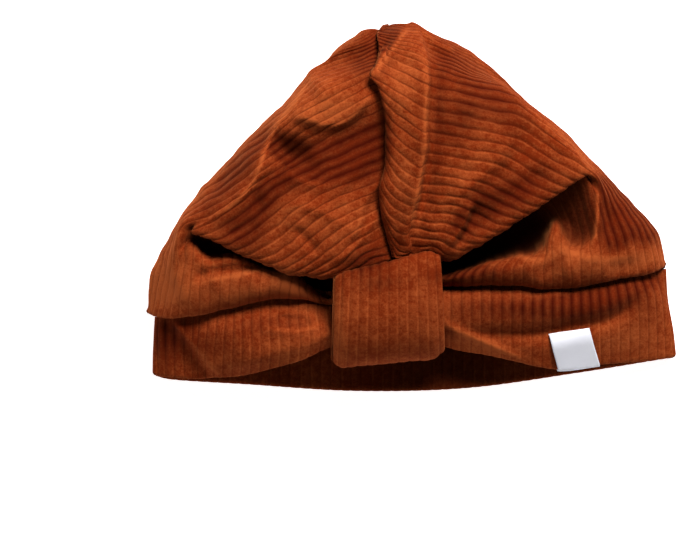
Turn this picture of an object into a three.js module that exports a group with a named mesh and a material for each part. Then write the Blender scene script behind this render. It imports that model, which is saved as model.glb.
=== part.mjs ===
// A child's turban beanie in wide-wale ribbed velour, lying on its back with the gathered front up.
// Millimetres, +Z up. The origin is on the floor at the centre of the footprint, the rim is towards -Y and
// the crown's tip towards +Y. The cloth of each crown half is one sheet: it starts on the band's seam,
// rolls over the band, dives into the pleat, comes back out as the crown's lower edge and runs on to the
// centre seam. Beyond the side fold the same sheet goes round to the back and lies on the floor.
import * as THREE from "three";

// Driving sizes.
const CLOTH = 1.8; // one layer of velour
const BAND_CLOTH = 2.8; // the rim band is a doubled strip
const LOOP_CLOTH = 3.2; // the knot loop is a flattened tube of cloth
const LABEL_CLOTH = 0.7;
const GAP = 0.4; // between pieces that are sewn together
const FOLD = 2.6; // half the height of a folded edge
const SIDE_Z = 6; // height of the side folds above the floor
const BACK_INSET = 7; // from the outline in to where the back lies flat
// Where the band meets the crown on the back: straight on the left, rising on the right.
const bandSeamY = (x) => -40.5 + 14 * (Math.max(x, 0) / 93) ** 2;
const TUCK = 4; // how far cloth runs in under the centre strip
const PLEAT_ROWS = [7.5, 10]; // the stretch of a rib's points in which the roll gives way to the panel
const RUST = { color: 0x9c431b, roughness: 0.95, metalness: 0 };
const WHITE = { color: 0xe6e6e2, roughness: 0.8, metalness: 0 };

// The centre strip that is folded over the top seam: its turned left edge and its right ridge.
const STRIP_EDGE = [
  { y: -19.5, x: -7.5, z: 32 },
  { y: -13, x: -9.3, z: 34 },
  { y: -6, x: -11.2, z: 36 },
  { y: 1, x: -12.2, z: 37.5 },
  { y: 6, x: -12.2, z: 38.5 },
  { y: 10, x: -10.4, z: 39.5 },
  { y: 24, x: -10, z: 41.5 },
  { y: 35, x: -10.8, z: 41.5 },
  { y: 41, x: -12.2, z: 40.5 },
  { y: 46.5, x: -16, z: 38 },
  { y: 50, x: -13.8, z: 35 },
  { y: 54, x: -12, z: 31 },
  { y: 60, x: -13, z: 23 },
  { y: 64.6, x: -13.3, z: 14 },
  { y: 65.4, x: -11, z: 8 },
];
const STRIP_RIDGE = [
  { y: -20, x: -5, z: 33 },
  { y: -17.5, x: -1, z: 35 },
  { y: -12.5, x: -2, z: 37 },
  { y: -8, x: -2, z: 39 },
  { y: 0, x: 0.5, z: 41 },
  { y: 9, x: 2, z: 42.5 },
  { y: 17, x: 3.8, z: 43.5 },
  { y: 31, x: 3.8, z: 44 },
  { y: 41, x: 4.6, z: 43 },
  { y: 50, x: 4.6, z: 38.5 },
  { y: 56, x: 4, z: 32 },
  { y: 60, x: 3.2, z: 26 },
  { y: 65, x: 1.3, z: 15 },
  { y: 66, x: -3, z: 9 },
];

// Pleated ribs, from beside the loop to the side. nose: the roll's lower edge; crest: the roll's height;
// top: where the roll turns down into the pleat; valley: the pleat's floor; pleat: how far it runs in
// under the crown; edge: the crown's lower edge; mid: half way up the panel; seam and ridge: how far up
// the strip's edge and ridge the rib ends.
const LEFT_PLEATS = [
  { nose: [-10.2, -35.5, 20], crest: 23.5, top: [-10.2, -31.5, 22], valley: 17, pleat: 2,
    edge: [-10.2, -24, 30], mid: [-10.2, -21.5, 31], seam: -19.5 },
  { nose: [-24, -36.5, 20], crest: 23.5, top: [-24, -32.5, 21.5], valley: 15, pleat: 4,
    edge: [-24, -26, 32], mid: [-16, -19.5, 34], seam: -16 },
  { nose: [-33, -36.2, 17.5], crest: 19, top: [-33, -32.4, 17.5], valley: 12.5, pleat: 6,
    edge: [-33, -27.7, 34], mid: [-22, -18, 37], seam: -9 },
  { nose: [-43, -34.3, 24], crest: 30, top: [-43, -27.5, 27], valley: 15, pleat: 8,
    edge: [-43, -26.2, 36], mid: [-27, -13, 39], seam: -2 },
  { nose: [-54, -35.3, 25], crest: 33, top: [-54, -24.5, 29], valley: 15, pleat: 9,
    edge: [-55, -22, 37], mid: [-34, -7, 40], seam: 4 },
  { nose: [-64, -37.5, 25], crest: 33, top: [-64, -20.8, 30], valley: 16, pleat: 9,
    edge: [-65, -17.5, 36], mid: [-39, -1, 40], seam: 11 },
  { nose: [-74, -40, 24], crest: 31, top: [-73.8, -19, 29], valley: 17, pleat: 8,
    edge: [-74, -13.2, 34.5], mid: [-43, 5, 39], seam: 19 },
  { nose: [-82, -41.2, 22], crest: 28, top: [-80.6, -14.8, 28], valley: 23, pleat: 4,
    edge: [-80, -9.9, 32], mid: [-46, 10.5, 38], seam: 27 },
];
const RIGHT_PLEATS = [
  { nose: [-9.4, -35.5, 20], crest: 23.5, top: [-9.4, -31.5, 22], valley: 17, pleat: 2,
    edge: [-9, -25, 31], mid: [-8, -23, 32], ridge: -20, seam: -19.5 },
  { nose: [4, -30.8, 21], crest: 25, top: [4, -26.5, 24], valley: 17, pleat: 5, edge: [7, -21.8, 31],
    mid: [4, -18.8, 34], ridge: -17.5, seam: -16.5 },
  { nose: [14.5, -30.2, 22], crest: 28, top: [15, -24.6, 25], valley: 15, pleat: 8,
    edge: [15, -20.5, 34.5], mid: [8.5, -14.5, 37.5], ridge: -12, seam: -8 },
  { nose: [25.5, -29.8, 24], crest: 31, top: [25.5, -20.8, 28], valley: 14, pleat: 9,
    edge: [25, -14.8, 37], mid: [12, -8, 39.5], ridge: -5.5, seam: 2 },
  { nose: [37.5, -30, 25], crest: 33, top: [37.5, -19, 29], valley: 14, pleat: 10,
    edge: [35.5, -8.4, 38], mid: [17.5, -0.5, 41], ridge: 1.5, seam: 9.5 },
  { nose: [47, -31, 25], crest: 33, top: [46.5, -17.5, 29.5], valley: 15, pleat: 11,
    edge: [43, -3.4, 38], mid: [22, 5, 41.5], ridge: 7, seam: 16 },
  { nose: [52.5, -31, 25], crest: 33, top: [51.2, -7, 30.5], valley: 17, pleat: 10, edge: [49, 0.8, 38],
    mid: [26.3, 10, 41.5], ridge: 12.5, seam: 23 },
  { nose: [59.5, -30.6, 24.8], crest: 32.3, top: [58.5, -16.3, 28.2], valley: 21, pleat: 8,
    edge: [55.5, 5.3, 37.5], mid: [31, 17, 41.2], ridge: 20.5, seam: 31 },
  { nose: [67.5, -29, 23.8], crest: 31, top: [67.2, -10, 30.5], valley: 29.5, pleat: 3,
    edge: [63, 9.8, 35.5], mid: [35, 23.5, 40], ridge: 28.5, seam: 39.5 },
];

// Plain ribs that stay on the front: past the pleat's corner, up the side, over the shoulder and across
// the panel. The last one of each half runs along the outline.
const LEFT_SIDES = [
  { nose: [-88.5, -41.8, 18], low: [-86, -27, 24], corner: [-83.8, -8.7, 28.5], side: [-71, -3.8, 33],
    shoulder: [-61, 3.5, 36.5], mid: [-38, 19.5, 36], seam: 36 },
  { nose: [-92, -41.4, 14], low: [-89.5, -25, 19], corner: [-85, -7, 22], side: [-71, 6, 24],
    shoulder: [-54.5, 20, 34], mid: [-37, 32, 38], seam: 43.5 },
  { nose: [-94.8, -40.7, 10], low: [-93, -24, 13], corner: [-86.5, -8, 15], side: [-71, 10.5, 16],
    shoulder: [-48.5, 33, 24], mid: [-33, 42.5, 35], seam: 49 },
  { nose: [-96.5, -39.3, 5], low: [-95.5, -27, SIDE_Z], corner: [-87.8, -11, SIDE_Z],
    side: [-73, 8.5, SIDE_Z], shoulder: [-50, 33.5, SIDE_Z], mid: [-35.5, 49.5, 14], seam: 54 },
];
const RIGHT_SIDES = [
  { nose: [75.5, -27.3, 22], low: [73.8, -16, 28], corner: [70.5, -4, 27], side: [66.5, 9.3, 32],
    shoulder: [57.5, 15.5, 36], mid: [37, 27.5, 39], ridge: 34.5, seam: 43 },
  { nose: [82.5, -26.2, 18], low: [80.5, -15, 25], corner: [73.5, -2.5, 26], side: [67, 10.5, 27.5],
    shoulder: [55.5, 20.5, 34.5], mid: [37.5, 34, 36], ridge: 41.5, seam: 47 },
  { nose: [88.5, -24.6, 14], low: [86.5, -12, 18], corner: [77.5, -0.5, 20], side: [67, 11.5, 23],
    shoulder: [52.5, 26.5, 28], mid: [34, 41, 29], ridge: 49, seam: 54 },
  { nose: [93, -23, 7], low: [90.3, -14, SIDE_Z], corner: [80.5, -1, SIDE_Z], side: [69, 10, SIDE_Z],
    shoulder: [54, 27, SIDE_Z], mid: [33.5, 43.5, 11], ridge: 56.5, seam: 60 },
];

// Ribs that come up the back and turn over the outline beside the tip; the last of each half ends on the
// tip. share: the fraction of the outline's half width that the rib keeps; over: where it crosses.
const LEFT_OVERS = [
  { share: 0.98, over: [-25, 58.2], seam: 58 },
  { share: 0.93, over: [-16.2, 62.4], seam: 61.5 },
];
const RIGHT_OVERS = [
  { share: 0.98, over: [19.8, 56.3], ridge: 61.5, seam: 62 },
  { share: 0.95, over: [9, 60.8], ridge: 64.5, seam: 64.4 },
  { share: 0.91, over: [0.5, 65], ridge: 66, seam: 65.4 },
];
const LEFT_TIP = { share: 0.86, lead: 0.8, x: -1.6, seam: 60.2, z: 2.6 };
const RIGHT_TIP = { share: 0.74, lead: 0.84, x: 0.9, seam: 60.5, z: 1.2 };
// Ribs that lie on the floor and end on the back seam, from the side to the centre. lead: how far along
// the last stretch the rib has come where its neighbours turn over the outline.
const BACKS = [
  { share: 0.64, lead: 0.72, seam: 56 },
  { share: 0.42, lead: 0.6, seam: 49 },
  { share: 0.2, lead: 0.5, seam: 42 },
  { share: 0, lead: 0.5, seam: 36 },
];

// Dents in the front, seen from above: half length, half width, the long axis' angle and the depth.
const DENTS = [
  { x: -37, y: 19.5, length: 13, width: 6, angle: -42, depth: 5.5 },
  { x: -22, y: 22, length: 13, width: 7, angle: 36, depth: 4 },
  { x: -30, y: 39, length: 12, width: 7, angle: 20, depth: -1.5 },
  { x: 38, y: 15, length: 16, width: 7, angle: 60, depth: 3 },
  { x: 24, y: -5, length: 9, width: 4, angle: 60, depth: 2.2 },
];

// Creases seen from above: the part that keeps them, the line, the rise (of a ridge) or fall (of a
// groove), and how far each reaches on the left and on the right of its line's way.
const CREASES = [
  { on: "panel", rise: 2, left: 7, right: 4, line: [[-36, 47], [-44.3, 33.6], [-50.2, 25.6],
    [-53.7, 17.9], [-57.1, 8], [-64.1, 0.7], [-70, -3.4], [-79, -6]] },
  { on: "panel", rise: 2.5, left: 5, right: 10, line: [[-13.7, 39.8], [-19.2, 36.1], [-24.6, 30.7],
    [-30.1, 28.8], [-37.4, 30.7], [-45, 32.5]] },
  { on: "panel", rise: 1.3, left: 3, right: 8, line: [[-55, 19], [-46.5, 20], [-41, 16], [-35.6, 11.7],
    [-29, 8]] },
  { on: "panel", rise: 1.5, left: 3, right: 5, line: [[-10, 10.5], [-18.8, -1.8], [-19.5, -8],
    [-24.5, -15.5]] },
  { on: "panel", rise: 1.2, left: 3, right: 3, line: [[-10.5, -2], [-15.9, -8.8], [-21, -16.4],
    [-30.5, -22.5]] },
  { on: "panel", rise: -1.2, left: 4, right: 4, line: [[-13, 16.5], [-22.1, 5.1], [-28.5, 2]] },
  { on: "panel", rise: 1, left: 5, right: 5, line: [[-21, -10], [-33.8, -2.9], [-47, 0]] },
  { on: "panel", rise: -1, left: 3, right: 3, line: [[-44, -8], [-39, -13], [-34, -19]] },
  { on: "panel", rise: 1.6, left: 4, right: 8, line: [[20, 58], [28.3, 47.1], [39.2, 37.2],
    [48.4, 28.1], [55.7, 22.6], [63.7, 13.5], [67, 8]] },
  { on: "panel", rise: 1.2, left: 4, right: 12, line: [[38, 26], [29, 14.2], [23.5, 8.8], [13, 0.5]] },
  { on: "panel", rise: 1.5, left: 2, right: 7, line: [[21.5, 2], [18, -7.7], [11.5, -16.5]] },
  { on: "panel", rise: -1.4, left: 3, right: 2, line: [[23.8, 1.5], [20.3, -8.5], [14, -17.5]] },
  { on: "panel", rise: 1.5, left: 7, right: 2, line: [[-2, 68], [-8.2, 57.3], [-13.7, 50], [-18, 43.5]] },
  { on: "panel", rise: -1.8, left: 2, right: 4, line: [[-8, 63], [-12, 54], [-15.5, 48.5]] },
  { on: "panel", rise: -0.9, left: 3, right: 3, line: [[-15, 49.5], [-6.4, 50], [3, 51]] },
  { on: "panel", rise: -1.2, left: 2.5, right: 1.5, line: [[5.5, 47], [5.7, 30], [5.2, 17], [3, 7],
    [1, -2], [0, -13]] },
  { on: "roll", rise: -1.2, left: 2.5, right: 2.5, line: [[-59, -23.5], [-66, -24.5], [-74, -25.5],
    [-81, -28.5]] },
  { on: "roll", rise: 1.2, left: 2.5, right: 2.5, line: [[-82, -7], [-86.7, -14.6], [-88.1, -20.4],
    [-89, -27]] },
  { on: "band", rise: -3, left: 4, right: 6, line: [[10, -43], [21, -46.7], [32.7, -47.1],
    [47.3, -46.7], [58.9, -44.2], [70.3, -42], [79, -37.2], [86, -31]] },
  { on: "band", rise: 2, left: 10, right: 3, line: [[-89, -40], [-77.2, -54.4], [-68, -65]] },
  { on: "band", rise: -2.5, left: 3, right: 3, line: [[-50, -41], [-43, -42.5], [-37, -42]] },
  { on: "band", rise: 1.2, left: 2, right: 5, line: [[-56, -44.5], [-46, -46], [-38.9, -45.5],
    [-27, -40]] },
];

const v3 = (p) => new THREE.Vector3(p[0], p[1], p[2]);
const mix = (a, b, t, z) => {
  const p = a.clone().lerp(b, t);
  return z === undefined ? p : p.setZ(z);
};
// A step from a towards b in plan, at a height.
const step = (a, b, length, z) => {
  const d = b.clone().sub(a).setZ(0).normalize();
  return a.clone().addScaledVector(d, length).setZ(z);
};
// Part of the way from a to b over a rounded shoulder where b is the higher one.
const dome = (a, b, t) => mix(a, b, t, a.z + (b.z - a.z) * (b.z > a.z ? 1 - (1 - t) ** 2 : t));
// A point on a table of the strip at a distance up the crown.
function along(table, y) {
  const last = table.length - 1;
  if (y >= table[last].y) return v3([table[last].x, table[last].y, table[last].z]);
  const i = Math.max(1, table.findIndex((row) => row.y > y));
  const a = table[i - 1];
  const b = table[i];
  const t = (y - a.y) / (b.y - a.y);
  return new THREE.Vector3(a.x + t * (b.x - a.x), y, a.z + t * (b.z - a.z));
}

// Parameters from 0 to 1 along a curve of so many spans, each divided by its own number of steps.
function parameters(steps) {
  const out = [0];
  steps.forEach((count, i) => {
    for (let k = 1; k <= count; k++) out.push((i + k / count) / steps.length);
  });
  return out;
}
const smooth = (points, closed = false) => new THREE.CatmullRomCurve3(points, closed, "centripetal");

// A pleated rib from the band's seam to the middle of the panel.
function pleatPoints(s) {
  const nose = v3(s.nose);
  const top = v3(s.top);
  const edge = v3(s.edge);
  const mid = v3(s.mid);
  const under = edge.z - 2 * FOLD;
  const roll = s.crest - nose.z;
  return [
    nose.clone().add(new THREE.Vector3(0, 5, -1.2 * FOLD)),
    nose.clone().add(new THREE.Vector3(0, 2, -1.3 * FOLD)),
    nose,
    mix(nose, top, 0.22, nose.z + 0.72 * roll),
    mix(nose, top, 0.58, s.crest),
    mix(nose, top, 0.88, 0.45 * s.crest + 0.55 * top.z),
    top.clone().setZ(0.7 * top.z + 0.3 * s.valley),
    mix(top, edge, 0.4, s.valley),
    step(edge, mid, 0.75 * s.pleat, s.valley + 1),
    step(edge, mid, s.pleat, (s.valley + under) / 2),
    step(edge, mid, 0.75 * s.pleat, under),
    step(edge, mid, 1.2, under + 0.3),
    edge.clone().setZ(edge.z - FOLD),
    step(edge, mid, 1.8, edge.z),
    mix(edge, mid, 0.5, (edge.z + mid.z) / 2 + 0.8),
    mid,
  ];
}
const PANEL_POINTS = 16;

// As many points as a pleated rib has, along a smooth path from a narrow hem. knots says which of the
// points lies on each of the path's own, so that neighbouring ribs keep in step.
function plainPoints(path, hem, knots) {
  const curve = smooth(path);
  const out = [hem, mix(path[0], hem, 0.5)];
  for (let i = 2; i < PANEL_POINTS; i++) {
    const k = Math.min(knots.findLastIndex((knot) => knot <= i), path.length - 2);
    out.push(curve.getPoint((k + (i - knots[k]) / (knots[k + 1] - knots[k])) / (path.length - 1)));
  }
  return out;
}
const SIDE_KNOTS = {
  left: [
    [2, 4.6, 9.5, 13, 14, 15],
    [2, 4.5, 8.3, 11.3, 13, 15],
    [2, 4.3, 7.5, 10, 12.2, 15],
    [2, 4, 6.2, 8.4, 10.8, 15],
  ],
  right: [
    [2, 4.4, 7.2, 12, 13.6, 15],
    [2, 4.4, 7.2, 11.2, 13, 15],
    [2, 4.3, 7, 10, 12, 15],
    [2, 4, 6.2, 8.4, 10.8, 15],
  ],
};
const BACK_KNOTS = [2, 3.8, 5.8, 7.8, 10, 12, 13.2, 15];
const sidePath = (s) => [s.nose, s.low, s.corner, s.side, s.shoulder, s.mid].map(v3);
function sidePoints(s, knots) {
  const path = sidePath(s);
  const hem = path[0].clone().add(new THREE.Vector3(-0.9 * Math.sign(path[0].x), 1.2, -0.8));
  return plainPoints(path, hem, knots);
}

// The first points of a rib on the floor: the outline's own path, drawn in towards the centre line.
function backPath(outline, share, seamY, centreX) {
  const tipY = outline.mid[1] + 12;
  const path = sidePath(outline).slice(0, 5).map((p) => {
    const x = share * (p.x - Math.sign(p.x) * BACK_INSET) + centreX;
    const y = p.y - (p.y > 0 ? 0.6 * BACK_INSET : 0);
    const start = bandSeamY(x);
    const stretch = (seamY - start) / (tipY - outline.nose[1]);
    return new THREE.Vector3(x, start + (y - outline.nose[1]) * stretch, 0);
  });
  path[0].y = bandSeamY(path[0].x) + 1;
  return path;
}
const backPoints = (path) => plainPoints(path, path[0].clone().setY(bandSeamY(path[0].x)), BACK_KNOTS);

// A back rib that turns over the outline beside the tip.
function overPath(outline, s, seam) {
  const path = backPath(outline, s.share, outline.mid[1] + 12, 0);
  const over = new THREE.Vector3(s.over[0], s.over[1], SIDE_Z);
  const centre = new THREE.Vector3(0, 20, 0);
  const past = mix(over, seam, 0.35, SIDE_Z + 0.7 * (seam.z - SIDE_Z));
  return [...path, step(over, centre, 4.2, 0.4), over, past];
}
// A back rib that stays on the floor up to its end.
function flatPath(outline, s, end) {
  const path = backPath(outline, s.share, s.seam, end.x);
  const last = path.at(-1);
  const rest = 1 - s.lead;
  return [
    ...path,
    mix(last, end, s.lead, 0),
    mix(last, end, 1 - 0.56 * rest, 0.1 * end.z),
    mix(last, end, 1 - 0.28 * rest, 0.4 * end.z),
  ];
}

function leftRibs() {
  const outline = LEFT_SIDES.at(-1);
  const end = (points, y) => {
    const seam = along(STRIP_EDGE, y).add(new THREE.Vector3(0.6 * TUCK, 0, -2 * FOLD - CLOTH));
    const last = points.at(-1);
    const between = last.z > seam.z ? mix(last, seam, 0.55, mix(last, seam, 0.4).z) : dome(last, seam, 0.6);
    return [...points, between, seam];
  };
  const flat = (s, x, z) => {
    const seam = new THREE.Vector3(x, s.seam, z);
    const points = backPoints(flatPath(outline, s, seam));
    return [...points, mix(points.at(-1), seam, 0.5), seam];
  };
  return [
    ...LEFT_PLEATS.map((s) => end(pleatPoints(s), s.seam)),
    ...LEFT_SIDES.map((s, i) => end(sidePoints(s, SIDE_KNOTS.left[i]), s.seam)),
    ...LEFT_OVERS.map((s) => end(backPoints(overPath(outline, s, along(STRIP_EDGE, s.seam))), s.seam)),
    flat(LEFT_TIP, LEFT_TIP.x, LEFT_TIP.z),
    ...BACKS.map((s) => flat(s, -GAP / 2, 0)),
  ];
}

// The right half ends in the strip: beside the ridge, the ridge, across the strip, its turned edge and
// the end that is tucked in under it.
function rightRibs() {
  const outline = RIGHT_SIDES.at(-1);
  const end = (points, s) => {
    const ridge = along(STRIP_RIDGE, s.ridge);
    const seam = along(STRIP_EDGE, s.seam);
    const beside = mix(points.at(-1), ridge, 0.92);
    return [
      ...points,
      dome(points.at(-1), ridge, 0.5),
      beside.setZ(Math.min(beside.z, ridge.z) - 1.2),
      ridge,
      mix(ridge, seam, 0.5, (ridge.z + seam.z) / 2 + 0.3),
      mix(ridge, seam, 0.86, seam.z + 0.1),
      seam.clone().add(new THREE.Vector3(-0.2, 0, -FOLD + 0.4)),
      seam.clone().add(new THREE.Vector3(TUCK, 0, -2 * FOLD + 0.6)),
    ];
  };
  const flat = (s, x, z) => {
    const seam = new THREE.Vector3(x, s.seam, z);
    const points = backPoints(flatPath(outline, s, seam));
    const shares = [0.25, 0.45, 0.6, 0.73, 0.84, 0.93, 1];
    return [...points, ...shares.map((t) => mix(points.at(-1), seam, t))];
  };
  return [
    ...RIGHT_PLEATS.map((s) => end(pleatPoints(s), s)),
    ...RIGHT_SIDES.map((s, i) => end(sidePoints(s, SIDE_KNOTS.right[i]), s)),
    ...RIGHT_OVERS.map((s) => end(backPoints(overPath(outline, s, along(STRIP_RIDGE, s.ridge))), s)),
    flat(RIGHT_TIP, RIGHT_TIP.x, RIGHT_TIP.z),
    ...BACKS.map((s) => flat(s, GAP / 2, 0)),
  ];
}

// A smooth grid of points through a net of ribs, kept above the floor and on its own side of the back seam.
function clothGrid(ribs, side, columnSteps, rowSteps) {
  const across = ribs[0].map((_, i) => smooth(ribs.map((rib) => rib[i])));
  return parameters(columnSteps).map((u) => {
    const rib = smooth(across.map((curve) => curve.getPoint(u)));
    return parameters(rowSteps).map((v) => {
      const p = dented(rib.getPoint(v));
      const onPanel = THREE.MathUtils.smoothstep(v * (across.length - 1), ...PLEAT_ROWS);
      const high = THREE.MathUtils.smoothstep(p.z, 12, 20);
      creased(p, { panel: onPanel * high, roll: (1 - onPanel) * high });
      return p.z < 0.5 ? p.setX(side * Math.max(side * p.x, GAP / 2)) : p;
    });
  });
}

function dented(p) {
  let z = p.z;
  const share = THREE.MathUtils.smoothstep(p.z, 14, 26);
  for (const dent of DENTS) {
    const angle = THREE.MathUtils.degToRad(dent.angle);
    const dx = p.x - dent.x;
    const dy = p.y - dent.y;
    const u = (dx * Math.cos(angle) + dy * Math.sin(angle)) / dent.length;
    const v = (dy * Math.cos(angle) - dx * Math.sin(angle)) / dent.width;
    z -= share * dent.depth * Math.exp(-u * u - v * v);
  }
  return p.setZ(Math.max(z, 0));
}

// Lifts the creases of the named parts out of a point, each by the point's share in its part.
function creased(p, shares) {
  let lift = 0;
  for (const crease of CREASES) {
    if (!shares[crease.on]) continue;
    const { nearest, aside, way, length } = besideLine(p, crease.line);
    const rounded = Math.hypot(nearest, CLOTH / 2) - CLOTH / 2;
    const fall = Math.max(0, 1 - rounded / (aside > 0 ? crease.left : crease.right)) ** 2;
    const ends = THREE.MathUtils.smoothstep(Math.min(way, length - way), 0, 0.22 * length);
    lift += crease.rise * fall * ends * shares[crease.on];
  }
  return p.setZ(p.z + lift);
}

// Where a point lies beside a line seen from above: how near, how far to its left, and how far along it.
function besideLine(p, line) {
  const spot = new THREE.Vector2(p.x, p.y);
  let best = { nearest: Infinity };
  let length = 0;
  for (let i = 1; i < line.length; i++) {
    const start = new THREE.Vector2(...line[i - 1]);
    const forth = new THREE.Vector2(...line[i]).sub(start);
    const step = forth.length();
    forth.divideScalar(step);
    const t = THREE.MathUtils.clamp(spot.clone().sub(start).dot(forth), 0, step);
    const off = spot.clone().sub(start.addScaledVector(forth, t));
    if (off.length() < best.nearest) {
      best = { nearest: off.length(), aside: forth.cross(off), way: length + t };
    }
    length += step;
  }
  return { ...best, length };
}

// A closed wall from a grid of outer points. The inner face lies one thickness under the outer one, and
// less where a fold is too tight for it.
function wall(grid, thickness, closedRound = false) {
  const columns = grid.length;
  const rows = grid[0].length;
  const spans = closedRound ? columns : columns - 1;
  const at = (c, r) => {
    const column = closedRound ? (c + columns) % columns : THREE.MathUtils.clamp(c, 0, columns - 1);
    return grid[column][THREE.MathUtils.clamp(r, 0, rows - 1)];
  };
  const outer = [];
  const normals = [];
  for (let c = 0; c < columns; c++) {
    for (let r = 0; r < rows; r++) {
      const du = at(c + 1, r).clone().sub(at(c - 1, r));
      const dv = at(c, r + 1).clone().sub(at(c, r - 1));
      outer.push(at(c, r));
      normals.push(at(c, r).z < 1e-6 ? new THREE.Vector3(0, 0, -1) : du.cross(dv).normalize());
    }
  }
  const id = (c, r) => (c % columns) * rows + r;
  const depth = outer.map(() => thickness);
  const innerPoint = (i) => outer[i].clone().addScaledVector(normals[i], -depth[i]);
  for (let pass = 0; pass < 12; pass++) {
    for (let c = 0; c < columns; c++) {
      for (let r = 0; r < rows; r++) {
        for (const other of [r + 1 < rows ? id(c, r + 1) : -1, c < spans ? id(c + 1, r) : -1]) {
          if (other < 0) continue;
          const i = id(c, r);
          const outerEdge = outer[other].clone().sub(outer[i]);
          const innerEdge = innerPoint(other).sub(innerPoint(i));
          if (outerEdge.dot(innerEdge) < 0.1 * outerEdge.lengthSq()) {
            depth[i] *= 0.85;
            depth[other] *= 0.85;
          }
        }
      }
    }
  }
  // Over the floor the inner face stays above it.
  const inner = outer.map((_, i) => innerPoint(i)).map((p) => p.setZ(Math.max(p.z, 0.5 * thickness)));
  const index = [];
  const count = outer.length;
  const quad = (a, b, c, d) => index.push(a, b, c, a, c, d);
  for (let c = 0; c < spans; c++) {
    for (let r = 0; r < rows - 1; r++) {
      quad(id(c, r), id(c + 1, r), id(c + 1, r + 1), id(c, r + 1));
      quad(count + id(c, r), count + id(c, r + 1), count + id(c + 1, r + 1), count + id(c + 1, r));
    }
    const top = rows - 1;
    quad(id(c, 0), count + id(c, 0), count + id(c + 1, 0), id(c + 1, 0));
    quad(id(c, top), id(c + 1, top), count + id(c + 1, top), count + id(c, top));
  }
  if (!closedRound) {
    const end = columns - 1;
    for (let r = 0; r < rows - 1; r++) {
      quad(id(0, r), id(0, r + 1), count + id(0, r + 1), count + id(0, r));
      quad(id(end, r), count + id(end, r), count + id(end, r + 1), id(end, r + 1));
    }
  }
  const geometry = new THREE.BufferGeometry();
  const points = [...outer, ...inner].flatMap((p) => [p.x, p.y, p.z]);
  geometry.setAttribute("position", new THREE.Float32BufferAttribute(points, 3));
  geometry.setIndex(index);
  return geometry;
}

// Sections of the rim band, from the left side round the front to the right side and back along the
// floor. top: the edge sewn in under the crown's roll; high and low: across the band; rim: its free edge.
const BAND = [
  { top: [-94, -41.3, 4.5], high: [-94.3, -46, 5], low: [-94.8, -54, 4.5], rim: [-95, -61, 3.6] },
  { top: [-92.2, -41, 9], high: [-92.6, -46.5, 9.5], low: [-92.6, -55, 7.5], rim: [-92.5, -61.8, 5.6] },
  { top: [-87.5, -41, 13], high: [-87.5, -47, 12.5], low: [-87.5, -56, 10.5], rim: [-87.5, -62.3, 8.4] },
  { top: [-80, -40, 16.5], high: [-80.5, -47, 17], low: [-81, -56, 12], rim: [-80.5, -62.8, 10] },
  { top: [-71, -38, 19], high: [-71.5, -46, 25], low: [-72.5, -57, 18], rim: [-72.5, -63, 13] },
  { top: [-61, -35.5, 20], high: [-61, -45, 28], low: [-61, -57, 25], rim: [-61.5, -62.2, 17.5] },
  { top: [-50, -33.5, 19.5], high: [-50, -42, 27], low: [-49.5, -53, 28], rim: [-50, -59.2, 22] },
  { top: [-40, -33.4, 17.5], high: [-40, -40, 24.5], low: [-39, -50, 29], rim: [-39.5, -56, 25] },
  { top: [-31, -34.9, 12.4], high: [-31, -40, 21.5], low: [-30, -47, 29], rim: [-30, -51.8, 25] },
  { top: [-20, -35.2, 14.8], high: [-20, -39.5, 22], low: [-20, -45, 28], rim: [-20, -49.5, 25] },
  { top: [-8, -33.8, 14.8], high: [-8, -38, 23], low: [-8, -43.5, 28], rim: [-8, -47.5, 25] },
  { top: [4, -29.5, 15.6], high: [5, -34.5, 24], low: [5, -40.5, 28], rim: [5, -45.5, 24] },
  { top: [15, -28.6, 16.6], high: [15, -34.5, 26], low: [15, -42, 26], rim: [15, -47, 22] },
  { top: [27, -28.2, 18.8], high: [27, -35, 28], low: [27, -45, 26], rim: [27, -52, 22] },
  { top: [40, -28.6, 19.8], high: [40, -36, 29], low: [40, -47, 25.5], rim: [40, -56.2, 20.5] },
  { top: [53, -29.2, 19.8], high: [53, -36.5, 28], low: [53, -48, 23.5], rim: [53.3, -59.5, 17.5] },
  { top: [66, -27.8, 18.8], high: [66.5, -35.5, 25.5], low: [67, -47, 20.5], rim: [67.5, -57.9, 14] },
  { top: [78, -25.4, 15.6], high: [80, -33, 19.5], low: [81, -46, 14.5], rim: [81, -56.8, 9.5] },
  { top: [86, -25.2, 11], high: [88.5, -33, 14], low: [89.5, -45, 10.5], rim: [89.8, -55.8, 7.2] },
  { top: [90.3, -27.2, 5], high: [93, -35, 5.2], low: [95, -46, 4.8], rim: [96, -54.6, 3.8] },
  { top: [86.5, -29.5, 0], high: [88, -37, 0], low: [90, -47, 0], rim: [91, -55.3, 0] },
  { top: [60, -35.2, 0], high: [60, -42, 0], low: [60, -54, 0], rim: [60, -60.3, 0] },
  { top: [20, -40.5, 0], high: [20, -47, 0], low: [20, -58, 0], rim: [20, -65.8, 0] },
  { top: [-20, -41, 0], high: [-20, -47, 0], low: [-20, -58, 0], rim: [-20, -66.9, 0] },
  { top: [-60, -41, 0], high: [-60, -47, 0], low: [-60, -57, 0], rim: [-60, -64.5, 0] },
  { top: [-88, -41, 0], high: [-89, -46, 0], low: [-89.5, -55, 0], rim: [-90, -62.4, 0] },
];

const BAND_EDGES = ["top", "high", "low", "rim"].map((key) => smooth(BAND.map((s) => v3(s[key])), true));
function bandPoint(u, v) {
  const p = smooth(BAND_EDGES.map((curve) => curve.getPoint(u))).getPoint(v);
  return p.setZ(Math.max(p.z, 0));
}
function bandGrid(columns, rows) {
  return Array.from({ length: columns }, (_, c) =>
    Array.from({ length: rows + 1 }, (_, r) => {
      const p = bandPoint(c / columns, r / rows);
      return creased(p, { band: THREE.MathUtils.smoothstep(p.z, 6, 14) });
    }),
  );
}

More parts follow.
